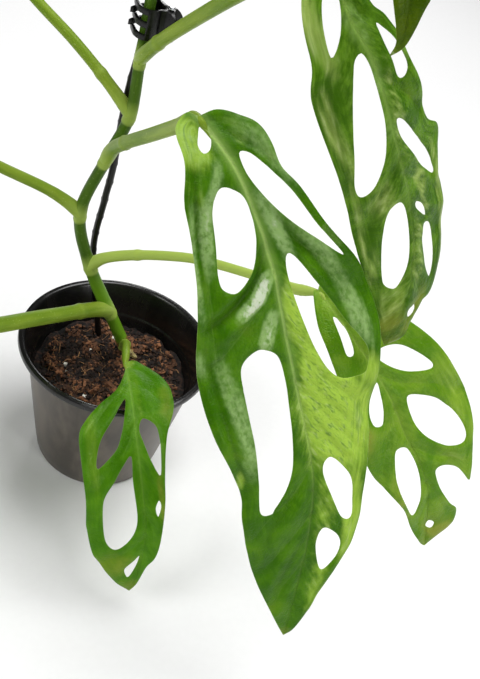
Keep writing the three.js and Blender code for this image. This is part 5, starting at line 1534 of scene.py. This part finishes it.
def stalk_radius(leaf, line):
    """A stalk's radius: a sheath as wide as the stem at its foot, a step where the sheath ends, a
    thicker joint before the blade, and then thin, under the midrib."""
    thick, thin = leaf["radii"]
    stem = stem_radius(NODE_MARKS[leaf["node"]] - 6)
    joint = line.length - JOINT["from_end"]
    knuckle = SHEATH["knuckle"] * leaf.get("knuckle", 1)

    def radius(s):
        plain = thick + (thin - thick) * min(1.0, 1.6 * s / line.length)
        clasp = float(np.interp(s, [8, 24], [1, 0]))
        foot = (stem - plain) * clasp**1.5 + float(np.interp(s, FOOT_AT, FOOT_OUT))
        past = s - leaf["sheath"]
        sheath = SHEATH["rise"] / (1 + math.exp(past / SHEATH["end"]))
        sheath += knuckle * float(bump(past + 1, SHEATH["knuckle_width"]))
        swollen = JOINT["rise"] * float(bump(s - joint + 3, JOINT["width"]))
        swollen += JOINT["ring"] * float(bump(s - joint - 2.5, JOINT["ring_width"]))
        ends = float(np.interp(line.length - s, END_AT, END_SHARE))
        return (plain + foot + sheath + swollen) * ends

    return radius


def channelled(angle, s):
    """A stalk's cross-section: round, with a shallow channel along its top beyond its foot."""
    turn = np.angle(np.exp(1j * (angle - math.pi / 2)))
    free = np.clip((s - 12) / 12, 0, 1)
    return 1 + free * (0.02 * bump(np.abs(turn) - 0.75, 0.3) - 0.07 * bump(turn, 0.42))


class ADANSONII_OT_stalks(bpy.types.Operator):
    """Add the leaf stalks with their sheaths"""

    bl_idname = "adansonii.stalks"
    bl_label = "Leaf stalks"
    bl_options = {"REGISTER", "UNDO"}

    def execute(self, context):
        finish = shoot_skin("leaf stalk epidermis", "#65841a", "#889f32", "#a9bb68", "#a3b955", 0.44)
        for number, leaf in LEAVES.items():
            line = stalk_line(leaf)
            stations = np.arange(0, line.length - 0.5, 0.85)
            points, faces, skin = shoot(line, stations, stalk_radius(leaf, line), sides=26,
                                        profile=channelled)
            along = skin[:, 2]
            ring = 0.25 * leaf.get("knuckle", 1) * bump(along - leaf["sheath"], 1.4)
            collar = 0.75 * np.clip((27 - along) / 17, 0, 1) + ring  # pale over the sheath's first 27 mm
            marks = {"skin": skin + (0, 0, number * 230.0),
                     "collar": np.clip(np.maximum(collar, leaf.get("pallor", 0)), 0, 1)}
            stalk = make_object(f"leaf_stalk_{number}", points, faces, [finish], marks)
            stand_for(stalk, f"petiole_{number}")
        return {"FINISHED"}


# ---------------------------------------------------------------- young leaf, still rolled
class ADANSONII_OT_new_leaf(bpy.types.Operator):
    """Add the young leaf at the top, still rolled"""

    bl_idname = "adansonii.new_leaf"
    bl_label = "Rolled young leaf"
    bl_options = {"REGISTER", "UNDO"}

    def execute(self, context):
        line = Line(NEW_LEAF_PATH)
        stations = np.concatenate([np.arange(0, line.length - 1, 0.8), [line.length - 0.2]])

        def radius(s):
            share = s / line.length
            return 0.45 + 2.4 * math.sin(math.pi * min(1.0, 0.12 + 0.86 * share)) ** 0.8

        def rolled(angle, s):
            turn = (angle + 0.035 * s) % TURN
            return 1 - 0.16 * turn / TURN - 0.08 * bump(turn, 0.18)

        points, faces, skin = shoot(line, stations, radius, sides=44, profile=rolled)
        finish = shoot_skin("young leaf, rolled", "#7ea338", "#a9c765", "#cfdf9c", "#b9d07c", 0.35)
        marks = {"skin": skin, "collar": 0.6 * bump(skin[:, 2], 5)}
        leaf = make_object("rolled_young_leaf", points, faces, [finish], marks)
        stand_for(leaf, "new_leaf")
        return {"FINISHED"}


# ---------------------------------------------------------------- stake
# Small knobs all along the coating: how far apart and how wide, in mm, and how high, as a share of the
# radius.
NUBS = {"apart": 12, "width": 1.1, "rise": 0.15}


class ADANSONII_OT_stake(bpy.types.Operator):
    """Add the plastic-coated stake"""

    bl_idname = "adansonii.stake"
    bl_label = "Stake"
    bl_options = {"REGISTER", "UNDO"}

    def execute(self, context):
        line = Line(STAKE_PATH)
        stations = np.concatenate([[0.0], np.arange(0.6, line.length - 1.2, 0.8),
                                   line.length - np.array([1.0, 0.6, 0.3, 0.05])])

        def radius(s):
            ends = min(1.0, math.sqrt(max(0.02, min(s + 0.3, line.length - s) / 1.4)))
            return (STAKE_RADIUS + STAKE_COATING) * ends

        def nubbed(angle, s):
            half = NUBS["apart"] / 2
            off = (s + half) % NUBS["apart"] - half
            return 1 + NUBS["rise"] * bump(off, NUBS["width"]) * np.clip(np.cos(4 * angle), 0, 1)

        points, faces, _ = shoot(line, stations, radius, sides=24, profile=nubbed)
        stake = make_object("coated_stake", points, faces, [grained("extruded coating")])
        stand_for(stake, "stake")
        return {"FINISHED"}


# ---------------------------------------------------------------- claw clip
def softened(node, name, width, material):
    """A copy of a moulded solid with its hard edges rounded."""
    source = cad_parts[node]
    copy = bpy.data.objects.new(name, source.data.copy())
    bpy.context.scene.collection.objects.link(copy)
    only(copy)
    bpy.ops.object.mode_set(mode="EDIT")
    bpy.ops.mesh.select_all(action="SELECT")
    bpy.ops.mesh.remove_doubles(threshold=MERGE)
    bpy.ops.mesh.dissolve_limited(angle_limit=math.radians(1))
    bpy.ops.object.mode_set(mode="OBJECT")
    bevel = copy.modifiers.new("moulded edges", "BEVEL")
    bevel.width = width
    bevel.segments = 2
    bevel.limit_method = "ANGLE"
    bevel.angle_limit = math.radians(35)
    bpy.ops.object.modifier_apply(modifier=bevel.name)
    bpy.ops.object.shade_smooth_by_angle(angle=math.radians(40))
    copy.data.materials.clear()
    copy.data.materials.append(material)
    return copy


class ADANSONII_OT_clip(bpy.types.Operator):
    """Add the claw clip with its pin and spring"""

    bl_idname = "adansonii.clip"
    bl_label = "Claw clip"
    bl_options = {"REGISTER", "UNDO"}

    def execute(self, context):
        plastic, steel = grained("moulded clip plastic"), grained("drawn spring wire")
        for node, body in (("clip_jaw_fixed", PLANT), ("clip_jaw_moving", CLIP_JAW)):
            jaw = softened(node, node.replace("clip_", "claw_"), 0.22 * MM, plastic)
            stand_for(jaw, node, body)
        pin = softened("clip_pin", "claw_pin", 0.12 * MM, steel)
        stand_for(pin, "clip_pin")
        coil, turns, low, pitch, wire = 1.62, 3, -1.0, 0.68, 0.29
        path = [(coil + 2.6, -2.0, low + 0.1)]
        path += [(*on_circle(coil, TURN * k / 12), low + pitch * k / 12) for k in range(turns * 12 + 1)]
        path.append((coil + 0.9, 0.9, low + pitch * turns))
        line = Line(np.array(path) + CLIP_MIDDLE + CLIP_HINGE)
        points, faces, _ = shoot(line, np.arange(0, line.length, 0.3), lambda s: wire, sides=10)
        spring = make_object("claw_spring", points, faces, [steel])
        stand_for(spring, "clip_spring")
        return {"FINISHED"}


# ---------------------------------------------------------------- studio
# Each light's name, how wide it is and where it stands, and the place that all are aimed at, in metres.
LIGHTS = [
    ("key", 0.7, (-0.75, -0.75, 0.95)), ("fill", 0.34, (1.02, -0.76, 0.43)),
    ("top", 1.0, (0.35, 0.15, 1.35)), ("rim", 0.26, (-0.12, 1.05, 0.5)),
]
LIT_PLACE = (0.02, -0.05, 0.18)
CAMERA = {
    "place": (0.063, -0.412, 0.4615), "right": (0.9521, 0.1989, 0.2321),
    "up": (-0.3057, 0.6196, 0.7229), "lens": 55,
}


def soft_light(name, power, size, place, target):
    """An area light at a place, aimed at a target."""
    bpy.ops.object.light_add(type="AREA", location=place)
    light = bpy.context.object
    light.name = name
    light.data.energy = power
    light.data.shape = "DISK"
    light.data.size = size
    light.rotation_euler = (Vector(target) - Vector(place)).to_track_quat("-Z", "Y").to_euler()


class ADANSONII_OT_studio(bpy.types.Operator):
    """Add the floor, the soft lights and the camera"""

    bl_idname = "adansonii.studio"
    bl_label = "Studio"
    bl_options = {"REGISTER", "UNDO"}

    def execute(self, context):
        settings = context.scene.adansonii.studio
        bpy.ops.object.select_all(action="DESELECT")
        bpy.ops.mesh.primitive_plane_add(size=8, location=(0, 0, -0.0005))
        floor = context.object
        floor.name = "floor"
        floor.data.materials.append(floor_paper(settings.floor))
        for name, size, place in LIGHTS:
            soft_light(name, getattr(settings, name), size, place, LIT_PLACE)
        world = bpy.data.worlds.new("soft sky")
        world.use_nodes = True
        sky = world.node_tree.nodes["Background"]
        sky.inputs["Color"].default_value = (1, 1, 1, 1)
        sky.inputs["Strength"].default_value = settings.sky
        context.scene.world = world
        bpy.ops.object.camera_add()
        camera = context.object
        right, up = (Vector(CAMERA[way]) for way in ("right", "up"))
        turn = Matrix((right, up, right.cross(up).normalized())).transposed().to_4x4()
        camera.matrix_world = Matrix.Translation(CAMERA["place"]) @ turn
        camera.data.lens = CAMERA["lens"]
        camera.data.sensor_width = 36
        camera.data.clip_start = 0.01
        context.scene.camera = camera
        context.scene.view_settings.view_transform = "Standard"
        return {"FINISHED"}


class ADANSONII_PT_panel(bpy.types.Panel):
    """The pieces of the potted plant and their settings"""

    bl_idname = "ADANSONII_PT_panel"
    bl_label = "Monstera adansonii"
    bl_space_type = "VIEW_3D"
    bl_region_type = "UI"
    bl_category = "Plant"

    def draw(self, context):
        for operator in OPERATORS:
            self.layout.operator(operator.bl_idname)
        settings = context.scene.adansonii
        for group in (settings.pot, settings.mix, settings.leaf, settings.studio):
            box = self.layout.box()
            for name in group.__annotations__:
                box.prop(group, name)


OPERATORS = [
    ADANSONII_OT_pot, ADANSONII_OT_potting_mix, ADANSONII_OT_stem, ADANSONII_OT_stalks,
    ADANSONII_OT_leaves, ADANSONII_OT_new_leaf, ADANSONII_OT_stake, ADANSONII_OT_clip,
    ADANSONII_OT_studio,
]
CLASSES = [
    PotSettings, MixSettings, LeafSettings, StudioSettings, PlantSettings,
    *OPERATORS, ADANSONII_PT_panel,
]


def register():
    """Makes the classes and the settings known to Blender."""
    for cls in CLASSES:
        bpy.utils.register_class(cls)
    bpy.types.Scene.adansonii = PointerProperty(type=PlantSettings)


def unregister():
    """Takes the settings and the classes out again."""
    del bpy.types.Scene.adansonii
    for cls in reversed(CLASSES):
        bpy.utils.unregister_class(cls)


def main():
    """Builds the whole scene."""
    register()
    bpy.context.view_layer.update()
    for operator in OPERATORS:
        getattr(bpy.ops.adansonii, operator.bl_idname.split(".")[1])()


if __name__ == "__main__":
    main()
